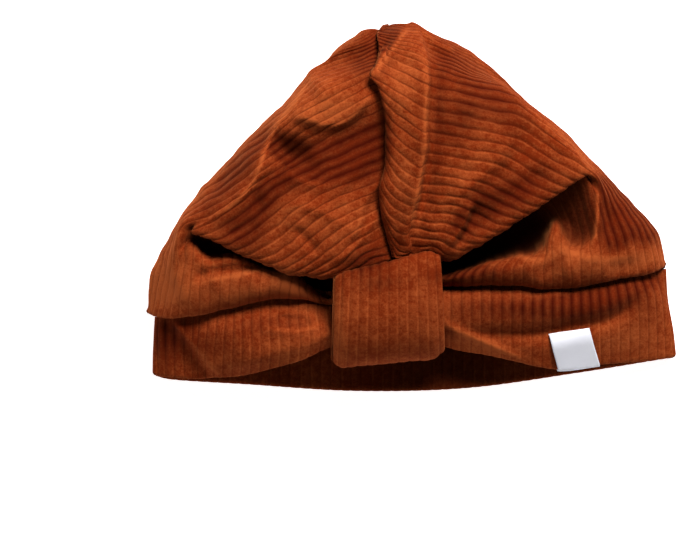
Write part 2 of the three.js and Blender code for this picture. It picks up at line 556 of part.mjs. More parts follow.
// The knot loop across its width: its upper end and where it turns round the rim.
const LOOP = [
  { upper: [-28.6, -26.6], lower: [-29.4, -57], drop: 2.2 },
  { upper: [-25, -25.2], lower: [-26.5, -59.4], drop: 0.5 },
  { upper: [-18.5, -23.8], lower: [-19.5, -59], drop: 0 },
  { upper: [-9.5, -21.9], lower: [-9.5, -58.2], drop: 0 },
  { upper: [-1, -19.2], lower: [-0.5, -57.2], drop: 0 },
  { upper: [5.5, -17.6], lower: [7, -56.6], drop: 0.5 },
  { upper: [8.8, -18.8], lower: [10.8, -54], drop: 1.6 },
];
// Along the loop: how far from its upper to its lower edge, and its height; then back inside the hat.
const LOOP_PATH = [
  { t: 0.02, z: 37.2 },
  { t: 0.05, z: 40 },
  { t: 0.16, z: 41.3 },
  { t: 0.35, z: 41.5 },
  { t: 0.58, z: 40.5 },
  { t: 0.8, z: 36.5 },
  { t: 0.94, z: 30.5 },
  { t: 1, z: 23 },
  { t: 0.95, z: 15 },
  { t: 0.8, z: 9.5 },
  { t: 0.55, z: 8 },
  { t: 0.4, z: 8 },
];

function loopRibs() {
  return LOOP.map((s) => LOOP_PATH.map((row) => {
    const x = THREE.MathUtils.lerp(s.upper[0], s.lower[0], row.t);
    const y = THREE.MathUtils.lerp(s.upper[1], s.lower[1], row.t);
    return new THREE.Vector3(x, y, row.z - (row.z > 24 ? s.drop : 0));
  }));
}
function loopGrid(columnsPerRib, rowsPerPoint) {
  const ribs = loopRibs();
  const across = LOOP_PATH.map((_, i) => smooth(ribs.map((rib) => rib[i])));
  return parameters(Array(LOOP.length - 1).fill(columnsPerRib)).map((u) => {
    const rib = smooth(across.map((curve) => curve.getPoint(u)));
    return parameters(Array(LOOP_PATH.length - 1).fill(rowsPerPoint)).map((v) => rib.getPoint(v));
  });
}

// The label is a ribbon folded over the band's rim, clear of the band's creases: across its width and
// along it, by the band's own parameters. The band's sections are numbered from the left side.
const LABEL = { first: 14.68, last: 15.66, lean: 0.22, start: 0.64, slant: -0.03, under: 9 };
function labelGrid(columns, rows) {
  const lift = GAP + LABEL_CLOTH + 0.15;
  return Array.from({ length: columns + 1 }, (_, c) => {
    const front = Array.from({ length: rows + 1 }, (_, r) => {
      const v = THREE.MathUtils.lerp(LABEL.start + LABEL.slant * (c / columns), 1, r / rows);
      const section = THREE.MathUtils.lerp(LABEL.first, LABEL.last, c / columns) + LABEL.lean * (r / rows);
      const u = section / BAND.length;
      const p = bandPoint(u, v);
      const du = bandPoint(u + 0.002, v).sub(bandPoint(u - 0.002, v));
      const dv = p.clone().sub(bandPoint(u, v - 0.02));
      const normal = dv.clone().cross(du).normalize();
      return { p, normal, down: dv.normalize() };
    });
    const rim = front.at(-1);
    const place = (out, down) =>
      rim.p.clone().addScaledVector(rim.normal, out).addScaledVector(rim.down, down);
    const low = -BAND_CLOTH - lift;
    return [
      ...front.map((f) => f.p.clone().addScaledVector(f.normal, lift)),
      place(lift - 0.6, lift - 0.3),
      place(0.5 * (lift + low), lift),
      place(low + 0.6, lift - 0.3),
      place(low, -0.2),
      place(low, -0.5 * LABEL.under),
      place(low, -LABEL.under),
    ];
  });
}

function piece(name, geometry, material) {
  const mesh = new THREE.Mesh(geometry, new THREE.MeshStandardMaterial(material));
  mesh.name = name;
  return mesh;
}

// The net is finer on the front than on the back.
const columnSteps = (front, overs) => [...Array(front + overs).fill(2), ...Array(BACKS.length).fill(1)];
const leftColumns = columnSteps(LEFT_PLEATS.length + LEFT_SIDES.length, LEFT_OVERS.length);
const rightColumns = columnSteps(RIGHT_PLEATS.length + RIGHT_SIDES.length, RIGHT_OVERS.length);
const rowSteps = (ends) => [1, 2, 2, 2, 2, 1, 2, 2, 2, 2, 1, 2, 2, 2, 2, ...ends];

const beanie = new THREE.Group();
// Columns run from the front centre round the side, so the left half's are taken the other way round.
const left = clothGrid(leftRibs(), -1, leftColumns, rowSteps([2, 2]));
const right = clothGrid(rightRibs(), 1, rightColumns, rowSteps([2, 2, 1, 1, 1, 1, 1]));
beanie.add(piece("crown_left", wall(left.reverse(), CLOTH), RUST));
beanie.add(piece("crown_right", wall(right, CLOTH), RUST));
beanie.add(piece("rim_band", wall(bandGrid(2 * BAND.length, 6).reverse(), BAND_CLOTH, true), RUST));
beanie.add(piece("knot_loop", wall(loopGrid(2, 1).reverse(), LOOP_CLOTH), RUST));
beanie.add(piece("label", wall(labelGrid(3, 5).reverse(), LABEL_CLOTH), WHITE));

export default beanie;
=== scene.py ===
"""A child's turban beanie in wide-rib velour, lying on its back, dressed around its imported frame.

The cloth is built as it is sewn: two crown halves whose sheets roll over the rim band, dive into the
pleat and run up to the centre strip, a rim band that goes all the way round, a knot loop that gathers
the front, and a woven label over the rim. Tables are in millimetres, and meshes in metres.
"""

import logging
import math
from dataclasses import dataclass, field
from enum import Enum
from typing import Any, NamedTuple, Sequence

import bpy
import numpy as np
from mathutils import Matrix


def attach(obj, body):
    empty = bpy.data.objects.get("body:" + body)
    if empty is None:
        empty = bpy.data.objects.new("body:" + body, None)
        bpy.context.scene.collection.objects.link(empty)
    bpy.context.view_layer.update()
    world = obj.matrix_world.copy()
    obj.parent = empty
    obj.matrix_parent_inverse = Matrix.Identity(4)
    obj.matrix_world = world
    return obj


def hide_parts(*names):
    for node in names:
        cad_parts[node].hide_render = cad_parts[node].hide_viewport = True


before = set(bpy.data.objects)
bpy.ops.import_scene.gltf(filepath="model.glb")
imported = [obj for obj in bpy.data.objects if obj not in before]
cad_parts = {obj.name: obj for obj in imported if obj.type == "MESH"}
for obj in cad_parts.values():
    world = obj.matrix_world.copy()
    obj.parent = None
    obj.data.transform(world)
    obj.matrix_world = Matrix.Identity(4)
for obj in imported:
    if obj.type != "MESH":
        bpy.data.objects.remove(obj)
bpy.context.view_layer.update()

LOG = logging.getLogger("beanie")
MM = 0.001

Array = np.ndarray
Point = tuple[float, float, float]
Place = tuple[float, float]
Colour = tuple[float, float, float]

# Driving sizes of the cloth, in millimetres.
RIB_PITCH = 3.7
RIB_DEPTH = 0.55
CLOTH = 1.4  # one layer of velour under its ribs
BAND_CLOTH = 2.8  # the rim band is a doubled strip
LOOP_CLOTH = 3.2  # the knot loop is a flattened tube
LABEL_CLOTH = 0.6
LABEL_LIFT = 1.4  # of the label's face off the band
FOLD = 2.6  # half the height of a folded edge
TUCK = 4  # how far cloth runs in under the centre strip
SIDE_HEIGHT = 6  # of the side folds above the floor
BACK_INSET = 7  # from the outline in to where the back lies flat
TIP_RISE = 12  # of the tip over the end of the outermost side rib
EDGE_HIGHLIGHT = 0.8  # how far from a fold's crest its painted highlight reaches

# Heights between which the cloth's relief and its painted light and shade set in, in millimetres.
DENT_HEIGHTS = (14, 26)
CREASE_HEIGHTS = (12, 20)
BAND_CREASE_HEIGHTS = (6, 14)
RIB_HEIGHTS = (0.0, 1.5)
PAINTED_SHADE_HEIGHTS = (2.5, 7)

# Where the parts of a crown rib lie, by its points from the band's seam up.
PANEL_POINTS = 16  # up to the middle of the panel
ROLL_ROWS = (2.5, 6)
PLEAT_ROWS = (7.5, 10)  # here the roll gives way to the panel
PANEL_ROWS = (12, 16.5)
# where the painted shade in the pleat's cavity ends
CAVITY_SHADE_END_ROWS = (11.2, 12.2)

SAMPLES_PER_RIB = 8
EVEN = 0.65  # how far the ribs keep their pitch where the cloth fans out, from 0 to 1


class Side(Enum):
    """The two halves of the crown, by the sign of their x."""

    LEFT = -1
    RIGHT = 1


class Part(Enum):
    """The parts of the cloth that keep creases of their own."""

    PANEL = "panel"
    ROLL = "roll"
    BAND = "band"


class StripPoint(NamedTuple):
    """A point of the folded centre strip's edge or ridge."""

    y: float
    x: float
    z: float


class PleatRib(NamedTuple):
    """A rib that rolls over the band, dives into the pleat and comes out on the panel."""

    nose: Point  # the roll's lower edge
    crest: float  # the roll's height
    top: Point  # where the roll turns down into the pleat
    valley: float  # the pleat's floor
    pleat: float  # how far it runs in under the crown
    edge: Point  # the crown's lower edge
    mid: Point  # half way up the panel
    seam: float  # how far up the strip's edge the rib ends
    ridge: float = 0.0  # how far up the strip's ridge it crosses


class SideRib(NamedTuple):
    """A rib that stays on the front and goes up the side and over the shoulder."""

    nose: Point
    low: Point
    corner: Point
    side: Point
    shoulder: Point
    mid: Point
    seam: float
    ridge: float = 0.0


class OverRib(NamedTuple):
    """A rib that comes up the back and turns over the outline beside the tip."""

    share: float  # of the outline's half width
    over: Place  # where it turns over
    seam: float
    ridge: float = 0.0


StripRib = PleatRib | SideRib | OverRib


class BackRib(NamedTuple):
    """A rib that lies on the floor and ends on the back seam or, the last one, on the tip."""

    share: float  # of the outline's half width
    lead: float  # how far it has come where its neighbours turn over the outline
    seam: float  # how far up it ends
    x: float = 0.0
    z: float = 0.0


class HalfTables(NamedTuple):
    """What one half of the crown is laid out from."""

    pleats: tuple[PleatRib, ...]
    sides: tuple[SideRib, ...]
    overs: tuple[OverRib, ...]
    tip: BackRib
    knots: tuple[tuple[float, ...], ...]  # for each side rib, which of its points its path's own ones are
    tail: tuple[float, ...]  # where a back rib's last points lie between its panel's middle and its end
    shaded_ribs: Place  # between these ribs, counted back from the last pleat, the pleat closes and its painted shade fades out
    shaded_row: float  # from this row on the cloth lies in the pleat, where its painted shade starts


class Dent(NamedTuple):
    """A soft hollow or, with a negative depth, a swelling, seen from above."""

    x: float
    y: float
    length: float
    width: float
    angle: float
    depth: float


class Crease(NamedTuple):
    """A ridge or, with a negative rise, a groove along a line seen from above; it tapers off at its ends."""

    line: tuple[Place, ...]
    rise: float
    left: float  # how far it reaches on the left of the line's way
    right: float
    worn: float = 0.0  # how strong the painted highlight is along its crest


class ShadePatch(NamedTuple):
    """A patch of painted shade or, with a positive shade, painted light, seen from above."""

    x: float
    y: float
    length: float
    width: float
    angle: float
    shade: float


class WornEnd(NamedTuple):
    """Where a fold runs out and is rounded off, seen from above."""

    x: float
    y: float
    reach: float
    passes: int  # how often its unevenness is spread out


class BandSection(NamedTuple):
    """A section of the rim band, from the seam under the crown to the free rim."""

    top: Point
    high: Point
    low: Point
    rim: Point


class LoopRib(NamedTuple):
    """A rib of the knot loop: its upper end and where it turns round the rim."""

    upper: Place
    lower: Place
    drop: float  # how far it hangs below the loop's middle


class LoopPoint(NamedTuple):
    """A step along the knot loop: how far down it lies, and its height."""

    t: float
    z: float


STRIP_EDGE: tuple[StripPoint, ...] = (
    StripPoint(y=-19.5, x=-7.5, z=32),
    StripPoint(y=-13, x=-9.3, z=34),
    StripPoint(y=-6, x=-11.2, z=36),
    StripPoint(y=1, x=-12.2, z=37.5),
    StripPoint(y=6, x=-12.2, z=38.5),
    StripPoint(y=10, x=-10.4, z=39.5),
    StripPoint(y=24, x=-10, z=41.5),
    StripPoint(y=35, x=-10.8, z=41.5),
    StripPoint(y=41, x=-12.2, z=40.5),
    StripPoint(y=46.5, x=-16, z=38),
    StripPoint(y=50, x=-13.8, z=35),
    StripPoint(y=54, x=-12, z=31),
    StripPoint(y=60, x=-13, z=23),
    StripPoint(y=63.8, x=-13.3, z=14),
    StripPoint(y=64.6, x=-11, z=8),
)
STRIP_RIDGE: tuple[StripPoint, ...] = (
    StripPoint(y=-20, x=-5, z=33),
    StripPoint(y=-17.5, x=-1, z=35),
    StripPoint(y=-12.5, x=-2, z=37),
    StripPoint(y=-8, x=-2, z=39),
    StripPoint(y=0, x=0.5, z=41),
    StripPoint(y=9, x=2, z=42.5),
    StripPoint(y=17, x=3.8, z=43.5),
    StripPoint(y=31, x=3.8, z=44),
    StripPoint(y=41, x=4.6, z=43),
    StripPoint(y=50, x=4.6, z=38.5),
    StripPoint(y=56, x=4, z=32),
    StripPoint(y=60, x=3.2, z=26),
    StripPoint(y=65, x=1.3, z=15),
    StripPoint(y=66, x=-3, z=9),
)
LEFT_PLEATS: tuple[PleatRib, ...] = (
    PleatRib(nose=(-10.2, -35.5, 20), crest=23.5, top=(-10.2, -31.5, 22), valley=17, pleat=2,
             edge=(-10.2, -24, 30), mid=(-10.2, -21.5, 31), seam=-19.5),
    PleatRib(nose=(-24, -36.5, 20), crest=23.5, top=(-24, -32.5, 21.5), valley=15, pleat=4,
             edge=(-24, -26, 32), mid=(-16, -19.5, 34), seam=-16),
    PleatRib(nose=(-31.5, -36.8, 16.5), crest=17.8, top=(-31.5, -34, 17), valley=12, pleat=6,
             edge=(-33, -27.7, 34), mid=(-22, -18, 37), seam=-9),
    PleatRib(nose=(-41.2, -34.6, 23.5), crest=29, top=(-41, -26, 27.5), valley=15, pleat=8,
             edge=(-43, -26.2, 36), mid=(-27, -13, 39), seam=-2),
    PleatRib(nose=(-54, -35.3, 25), crest=33, top=(-54, -22.2, 30), valley=15, pleat=9,
             edge=(-55, -22, 37), mid=(-34, -7, 40), seam=4),
    PleatRib(nose=(-64, -37.5, 25), crest=33, top=(-64, -18.2, 31), valley=16, pleat=9,
             edge=(-65, -17.5, 36), mid=(-39, -1, 40), seam=11),
    PleatRib(nose=(-74, -40, 24), crest=31, top=(-73.8, -19, 29), valley=17, pleat=8,
             edge=(-74, -13.2, 34.5), mid=(-43, 5, 39), seam=19),
    PleatRib(nose=(-82, -41.2, 22), crest=28, top=(-80.6, -14.8, 28), valley=23, pleat=4,
             edge=(-80, -9.9, 32), mid=(-46, 10.5, 38), seam=27),
)
RIGHT_PLEATS: tuple[PleatRib, ...] = (
    PleatRib(nose=(-9.4, -35.5, 20), crest=23.5, top=(-9.4, -31.5, 22), valley=17, pleat=2,
             edge=(-9, -25, 31), mid=(-8, -23, 32), ridge=-20, seam=-19.5),
    PleatRib(nose=(4, -30.8, 21), crest=25, top=(4, -26.5, 24), valley=17, pleat=5,
             edge=(7, -21.8, 31), mid=(4, -18.8, 34), ridge=-17.5, seam=-14.5),
    PleatRib(nose=(14.5, -30.2, 22), crest=28, top=(15, -24.6, 25), valley=15, pleat=8,
             edge=(15, -20.5, 34.5), mid=(8.5, -14.5, 37.5), ridge=-12, seam=-4.5),
    PleatRib(nose=(25.5, -29.8, 24), crest=31, top=(25.5, -20.8, 28), valley=14, pleat=9,
             edge=(25, -14.8, 37), mid=(12, -8, 39.5), ridge=-5.5, seam=5.5),
    PleatRib(nose=(37.5, -30, 25), crest=33, top=(37.5, -19, 29), valley=14, pleat=10,
             edge=(35.5, -8.4, 38), mid=(17.5, -0.5, 41), ridge=1.5, seam=13),
    PleatRib(nose=(47, -31, 25), crest=33, top=(46.5, -15.8, 29.8), valley=15, pleat=11,
             edge=(43, -3.4, 38), mid=(22, 5, 41.5), ridge=7, seam=19.5),
    PleatRib(nose=(52.5, -31, 25), crest=33, top=(51.2, -7, 30.5), valley=17, pleat=10,
             edge=(49, 0.8, 38), mid=(26.3, 10, 41.5), ridge=12.5, seam=26.5),
    PleatRib(nose=(59.5, -30.6, 24.8), crest=32.3, top=(58.5, -15.2, 28.4), valley=21, pleat=8,
             edge=(55.5, 5.3, 37.5), mid=(31, 17, 41.2), ridge=20.5, seam=34.5),
    PleatRib(nose=(67.5, -29, 23.8), crest=31, top=(67.2, -10, 30.5), valley=29.5, pleat=3,
             edge=(63, 9.8, 35.5), mid=(35, 23.5, 40), ridge=28.5, seam=42),
)
LEFT_SIDES: tuple[SideRib, ...] = (
    SideRib(nose=(-88.5, -41.8, 18), low=(-86, -27, 24), corner=(-83.8, -8.7, 28.5),
            side=(-71, -3.8, 33), shoulder=(-61, 3.5, 36.5), mid=(-38, 19.5, 36), seam=36),
    SideRib(nose=(-92, -41.4, 14), low=(-89.5, -25, 19), corner=(-85, -7, 22), side=(-71, 6, 24),
            shoulder=(-54.5, 20, 34), mid=(-37, 32, 38), seam=43.5),
    SideRib(nose=(-94.8, -40.7, 10), low=(-93, -24, 13), corner=(-86.5, -8, 15), side=(-71, 10.5, 16),
            shoulder=(-48.5, 33, 24), mid=(-33, 42.5, 35), seam=49),
    SideRib(nose=(-96.5, -39.3, 5), low=(-95.5, -27, SIDE_HEIGHT), corner=(-87.8, -11, SIDE_HEIGHT),
            side=(-73, 8.5, SIDE_HEIGHT), shoulder=(-50, 33.5, SIDE_HEIGHT), mid=(-35.5, 49.5, 14),
            seam=54),
)
RIGHT_SIDES: tuple[SideRib, ...] = (
    SideRib(nose=(75.5, -27.3, 22), low=(73.8, -16, 28), corner=(70.5, -4, 27), side=(66.5, 9.3, 32),
            shoulder=(57.5, 15.5, 36), mid=(37, 27.5, 39), ridge=34.5, seam=46),
    SideRib(nose=(82.5, -26.2, 18), low=(80.5, -15, 25), corner=(73.5, -2.5, 26),
            side=(67, 10.5, 27.5), shoulder=(55.5, 20.5, 34.5), mid=(37.5, 34, 36), ridge=41.5,
            seam=50.5),
    SideRib(nose=(88.5, -24.6, 14), low=(86.5, -12, 18), corner=(77.5, -0.5, 20), side=(67, 11.5, 23),
            shoulder=(52.5, 26.5, 28), mid=(34, 41, 29), ridge=49, seam=56),
    SideRib(nose=(91.8, -22.8, 7), low=(90.3, -14, SIDE_HEIGHT), corner=(80.5, -1, SIDE_HEIGHT),
            side=(69, 10, SIDE_HEIGHT), shoulder=(54, 27, SIDE_HEIGHT), mid=(33.5, 43.5, 11),
            ridge=56.5, seam=60),
)
LEFT_OVERS: tuple[OverRib, ...] = (
    OverRib(share=0.98, over=(-25, 58.2), seam=58),
    OverRib(share=0.93, over=(-15.2, 63.8), seam=62.4),
)
RIGHT_OVERS: tuple[OverRib, ...] = (
    OverRib(share=0.98, over=(19.8, 56.3), ridge=61.5, seam=62),
    OverRib(share=0.95, over=(9, 60.8), ridge=64.5, seam=64.4),
    OverRib(share=0.91, over=(-1, 66.9), ridge=66, seam=64.6),
)
LEFT_TIP = BackRib(share=0.86, lead=0.8, x=-1.6, seam=61.2, z=2.6)
RIGHT_TIP = BackRib(share=0.74, lead=0.84, x=0.9, seam=60.5, z=1.2)
BACKS: tuple[BackRib, ...] = (
    BackRib(share=0.64, lead=0.72, seam=56),
    BackRib(share=0.42, lead=0.6, seam=49),
    BackRib(share=0.2, lead=0.5, seam=42),
    BackRib(share=0, lead=0.5, seam=36),
)
DENTS: tuple[Dent, ...] = (
    Dent(x=-45, y=18, length=10, width=5, angle=-36, depth=6.5),
    Dent(x=-22, y=22, length=13, width=7, angle=36, depth=4),
    Dent(x=-30, y=39, length=12, width=7, angle=20, depth=-1.5),
    Dent(x=38, y=15, length=16, width=7, angle=60, depth=3),
    Dent(x=24, y=-5, length=9, width=4, angle=60, depth=2.2),
)
CREASES: dict[Part, tuple[Crease, ...]] = {
    Part.PANEL: (
        Crease(rise=2.6, left=5, right=5, worn=0.9, line=((-33, 50), (-39, 42), (-44.3, 35), (-50.2, 26.6),
            (-54, 18), (-57.6, 8), (-64.5, 0), (-70, -3.4), (-79, -6))),
        Crease(rise=2.8, left=3.5, right=10, worn=0.35, line=((-13.7, 41.6), (-19.2, 34), (-26.5, 28.4),
            (-33.8, 28.4), (-41, 31), (-48, 30))),
        Crease(rise=1.8, left=4, right=6, worn=0.3, line=((-54, 17), (-47.5, 14), (-42, 9.5), (-36, 7),
            (-29, 6))),
        Crease(rise=1.6, left=3, right=5, worn=0.3, line=((-10, 10.5), (-18.8, -1.8), (-19.5, -8),
            (-24.5, -15.5))),
        Crease(rise=1.2, left=3, right=3, line=((-10.5, -2), (-15.9, -8.8), (-21, -16.4), (-30.5, -22.5))),
        Crease(rise=-1.2, left=4, right=4, line=((-13, 16.5), (-22.1, 5.1), (-28.5, 2))),
        Crease(rise=1.4, left=5, right=5, line=((-21, -10), (-33.8, -2.9), (-47, 0))),
        Crease(rise=-1.6, left=3, right=3, line=((-44, -8), (-39, -13), (-34, -19))),
        Crease(rise=-1.6, left=4, right=5, line=((-57, 6), (-57, -2), (-62, -9), (-70, -11))),
        Crease(rise=1.8, left=4, right=8, worn=0.3, line=((20, 58), (28.3, 47.1), (39.2, 37.2),
            (48.4, 28.1), (55.7, 22.6), (63.7, 13.5), (67, 8))),
        Crease(rise=1.8, left=4, right=12, line=((38, 26), (29, 14.2), (23.5, 8.8), (13, 0.5))),
        Crease(rise=1.8, left=2, right=7, worn=0.5, line=((21.5, 2), (18, -7.7), (11.5, -16.5))),
        Crease(rise=-1.8, left=3, right=2, line=((23.8, 1.5), (20.3, -8.5), (14, -17.5))),
        Crease(rise=-2, left=6, right=6, line=((52, 14), (40, 6), (30, -3), (21, -12))),
        Crease(rise=2, left=6, right=3.2, worn=1, line=((0, 66), (-6, 58), (-12.5, 49), (-18, 43.5))),
        Crease(rise=-1.8, left=2, right=4, line=((-8, 63), (-12, 54), (-15.5, 48.5))),
        Crease(rise=-0.9, left=3, right=3, line=((-15, 49.5), (-6.4, 50), (3, 51))),
        Crease(rise=1.4, left=1.6, right=5, worn=0.8, line=((3.6, 60), (4.4, 50), (4.4, 30), (3.6, 17),
            (2, 7), (0, -4), (-1.8, -15))),
        Crease(rise=-2, left=5, right=1.4, line=((6.4, 58), (7, 47), (6.8, 30), (6, 17), (4.4, 7),
            (2.4, -4), (1, -13))),
        Crease(rise=-1.4, left=2, right=2.5, line=((2, 64.5), (5, 58.5), (8.5, 54), (14, 51))),
        Crease(rise=1, left=2, right=2.5, worn=0.4, line=((2.5, 64), (8, 58.2), (16, 55.5))),
        Crease(rise=1.4, left=3, right=1.6, worn=0.8, line=((66.4, 6), (66.6, 3), (66.6, -4), (65.5, -10.2),
            (63.7, -16))),
    ),
    Part.ROLL: (
        Crease(rise=-3.2, left=2.5, right=3, line=((-54, -22), (-61, -23.2), (-72, -24.8), (-81, -28))),
        Crease(rise=0, left=1, right=1, worn=0.6, line=((-40, -26), (-48, -23.6), (-56, -24), (-63, -25.8),
            (-72, -27.4), (-79, -30))),
        Crease(rise=1.6, left=2.5, right=2.5, worn=0.7, line=((-82, -7), (-86.7, -14.6), (-88.1, -20.4),
            (-89, -27))),
        Crease(rise=0, left=1, right=1, worn=0.6, line=((-97, -36), (-94, -40), (-86, -41.6), (-76, -40.4),
            (-62, -37), (-50, -34.6))),
        Crease(rise=1.4, left=3, right=1.6, worn=1.1, line=((66, 9), (66.6, 3), (66.6, -4), (65.5, -10.2),
            (63.7, -16))),
        Crease(rise=0.8, left=2, right=3, worn=0.6, line=((16, -20.5), (36, -18.5), (47, -21), (53, -17),
            (62, -19.5), (74, -20), (86, -17))),
    ),
    Part.BAND: (
        Crease(rise=-3, left=4, right=6, line=((16, -45.5), (24, -46.7), (32.7, -47.1), (47.3, -46.7),
            (58.9, -44.2), (70.3, -42), (79, -37.2), (86, -31))),
        Crease(rise=1.6, left=2.5, right=4, worn=0.9, line=((9, -42), (15.6, -46.3), (24.7, -50.1),
            (33.8, -54.1), (43, -57.6))),
        Crease(rise=2.6, left=10, right=3, worn=0.6, line=((-89, -40), (-77.2, -54.4), (-68, -65))),
        Crease(rise=-2.5, left=3, right=3, line=((-50, -41), (-43, -42.5), (-37, -42))),
        Crease(rise=1.2, left=2, right=5, worn=0.4, line=((-56, -44.5), (-46, -46), (-38.9, -45.5),
            (-27, -40))),
    ),
}
# Patches of painted shade and, with a positive shade, painted light.
SHADE_PATCHES: tuple[ShadePatch, ...] = (
    ShadePatch(x=-28, y=15, length=12, width=7, angle=30, shade=-0.9),
    ShadePatch(x=-25, y=15, length=14, width=4.5, angle=-35, shade=-0.55),
    ShadePatch(x=-17, y=22, length=10, width=8, angle=45, shade=-0.7),
    ShadePatch(x=-12.5, y=20, length=11, width=3.5, angle=85, shade=-0.5),
    ShadePatch(x=-43.8, y=18, length=8.5, width=4.2, angle=-30, shade=-1.6),
    ShadePatch(x=-54.6, y=0.4, length=8, width=5, angle=60, shade=-0.5),
    ShadePatch(x=-63, y=-10, length=10, width=5, angle=-20, shade=-0.5),
    ShadePatch(x=-47, y=8, length=11, width=5, angle=30, shade=-0.5),
    ShadePatch(x=-31, y=32, length=12, width=6, angle=10, shade=0.6),
    ShadePatch(x=-16, y=53, length=10, width=7, angle=60, shade=-0.75),
    ShadePatch(x=-45, y=-4, length=14, width=5, angle=-25, shade=0.2),
    ShadePatch(x=-64, y=12, length=20, width=4, angle=50, shade=-0.75),
    ShadePatch(x=-9.5, y=59.5, length=7, width=3.5, angle=50, shade=-0.9),
    ShadePatch(x=14, y=52, length=9, width=6, angle=-50, shade=-0.4),
    ShadePatch(x=24, y=2, length=9, width=6, angle=40, shade=-0.3),
    ShadePatch(x=-12, y=-29, length=8, width=3, angle=8, shade=-0.4),
    ShadePatch(x=76, y=-29, length=12, width=3, angle=12, shade=-0.4),
    ShadePatch(x=-57, y=-5, length=14, width=6, angle=55, shade=-0.4),
    ShadePatch(x=-3, y=38, length=13, width=4, angle=85, shade=0.35),
    ShadePatch(x=-4, y=8, length=14, width=4.5, angle=85, shade=0.35),
    ShadePatch(x=9, y=34, length=24, width=3.5, angle=88, shade=-0.4),
    ShadePatch(x=17, y=30, length=12, width=6, angle=80, shade=-0.45),
    ShadePatch(x=7, y=-4, length=12, width=3.5, angle=80, shade=-0.2),
    ShadePatch(x=29, y=38, length=17, width=10, angle=-42, shade=-0.55),
    ShadePatch(x=35.6, y=2.5, length=17, width=6, angle=35, shade=-0.7),
    ShadePatch(x=18, y=-7, length=9, width=4.5, angle=50, shade=-0.7),
    ShadePatch(x=17.3, y=8, length=14, width=5, angle=60, shade=0.3),
    ShadePatch(x=6.4, y=-10, length=8, width=6, angle=0, shade=0.25),
    ShadePatch(x=71.5, y=-4, length=12, width=5, angle=-80, shade=-1.8),
    ShadePatch(x=81, y=-5.5, length=11, width=6, angle=-50, shade=-1.2),
    ShadePatch(x=75.7, y=-21, length=15, width=4.5, angle=10, shade=0.6),
    ShadePatch(x=56, y=-17, length=7, width=6, angle=60, shade=0.4),
    ShadePatch(x=17, y=-25, length=9, width=3, angle=5, shade=-0.6),
    ShadePatch(x=83, y=-30, length=10, width=3.5, angle=15, shade=-0.5),
    ShadePatch(x=60, y=-36.5, length=21, width=4.5, angle=5, shade=-1),
    ShadePatch(x=28, y=-37, length=18, width=5, angle=0, shade=-0.4),
    ShadePatch(x=26, y=-26, length=16, width=4, angle=5, shade=-0.4),
    ShadePatch(x=62, y=-41.5, length=20, width=4, angle=8, shade=-0.2),
    ShadePatch(x=76, y=-49, length=14, width=7, angle=0, shade=0.3),
    ShadePatch(x=22, y=-51.5, length=15, width=3, angle=-18, shade=0.45),
    ShadePatch(x=-90, y=-31, length=11, width=11, angle=0, shade=1),
    ShadePatch(x=-50, y=-44, length=20, width=4.5, angle=0, shade=-0.4),
    ShadePatch(x=-27.5, y=-45, length=3, width=12, angle=0, shade=0.6),
    ShadePatch(x=-60, y=-34, length=22, width=4, angle=2, shade=0.5),
    ShadePatch(x=-42, y=-30, length=9, width=5, angle=-30, shade=0.9),
    ShadePatch(x=-16, y=-21, length=9, width=5, angle=20, shade=-0.8),
    ShadePatch(x=-89, y=-46, length=9, width=9, angle=0, shade=-0.9),
    ShadePatch(x=-60, y=-57, length=22, width=5, angle=0, shade=0.15),
)
WORN_ENDS: tuple[WornEnd, ...] = (
    WornEnd(x=-70, y=-4, reach=10.5, passes=40),
    WornEnd(x=-6, y=66.5, reach=9, passes=10),
)
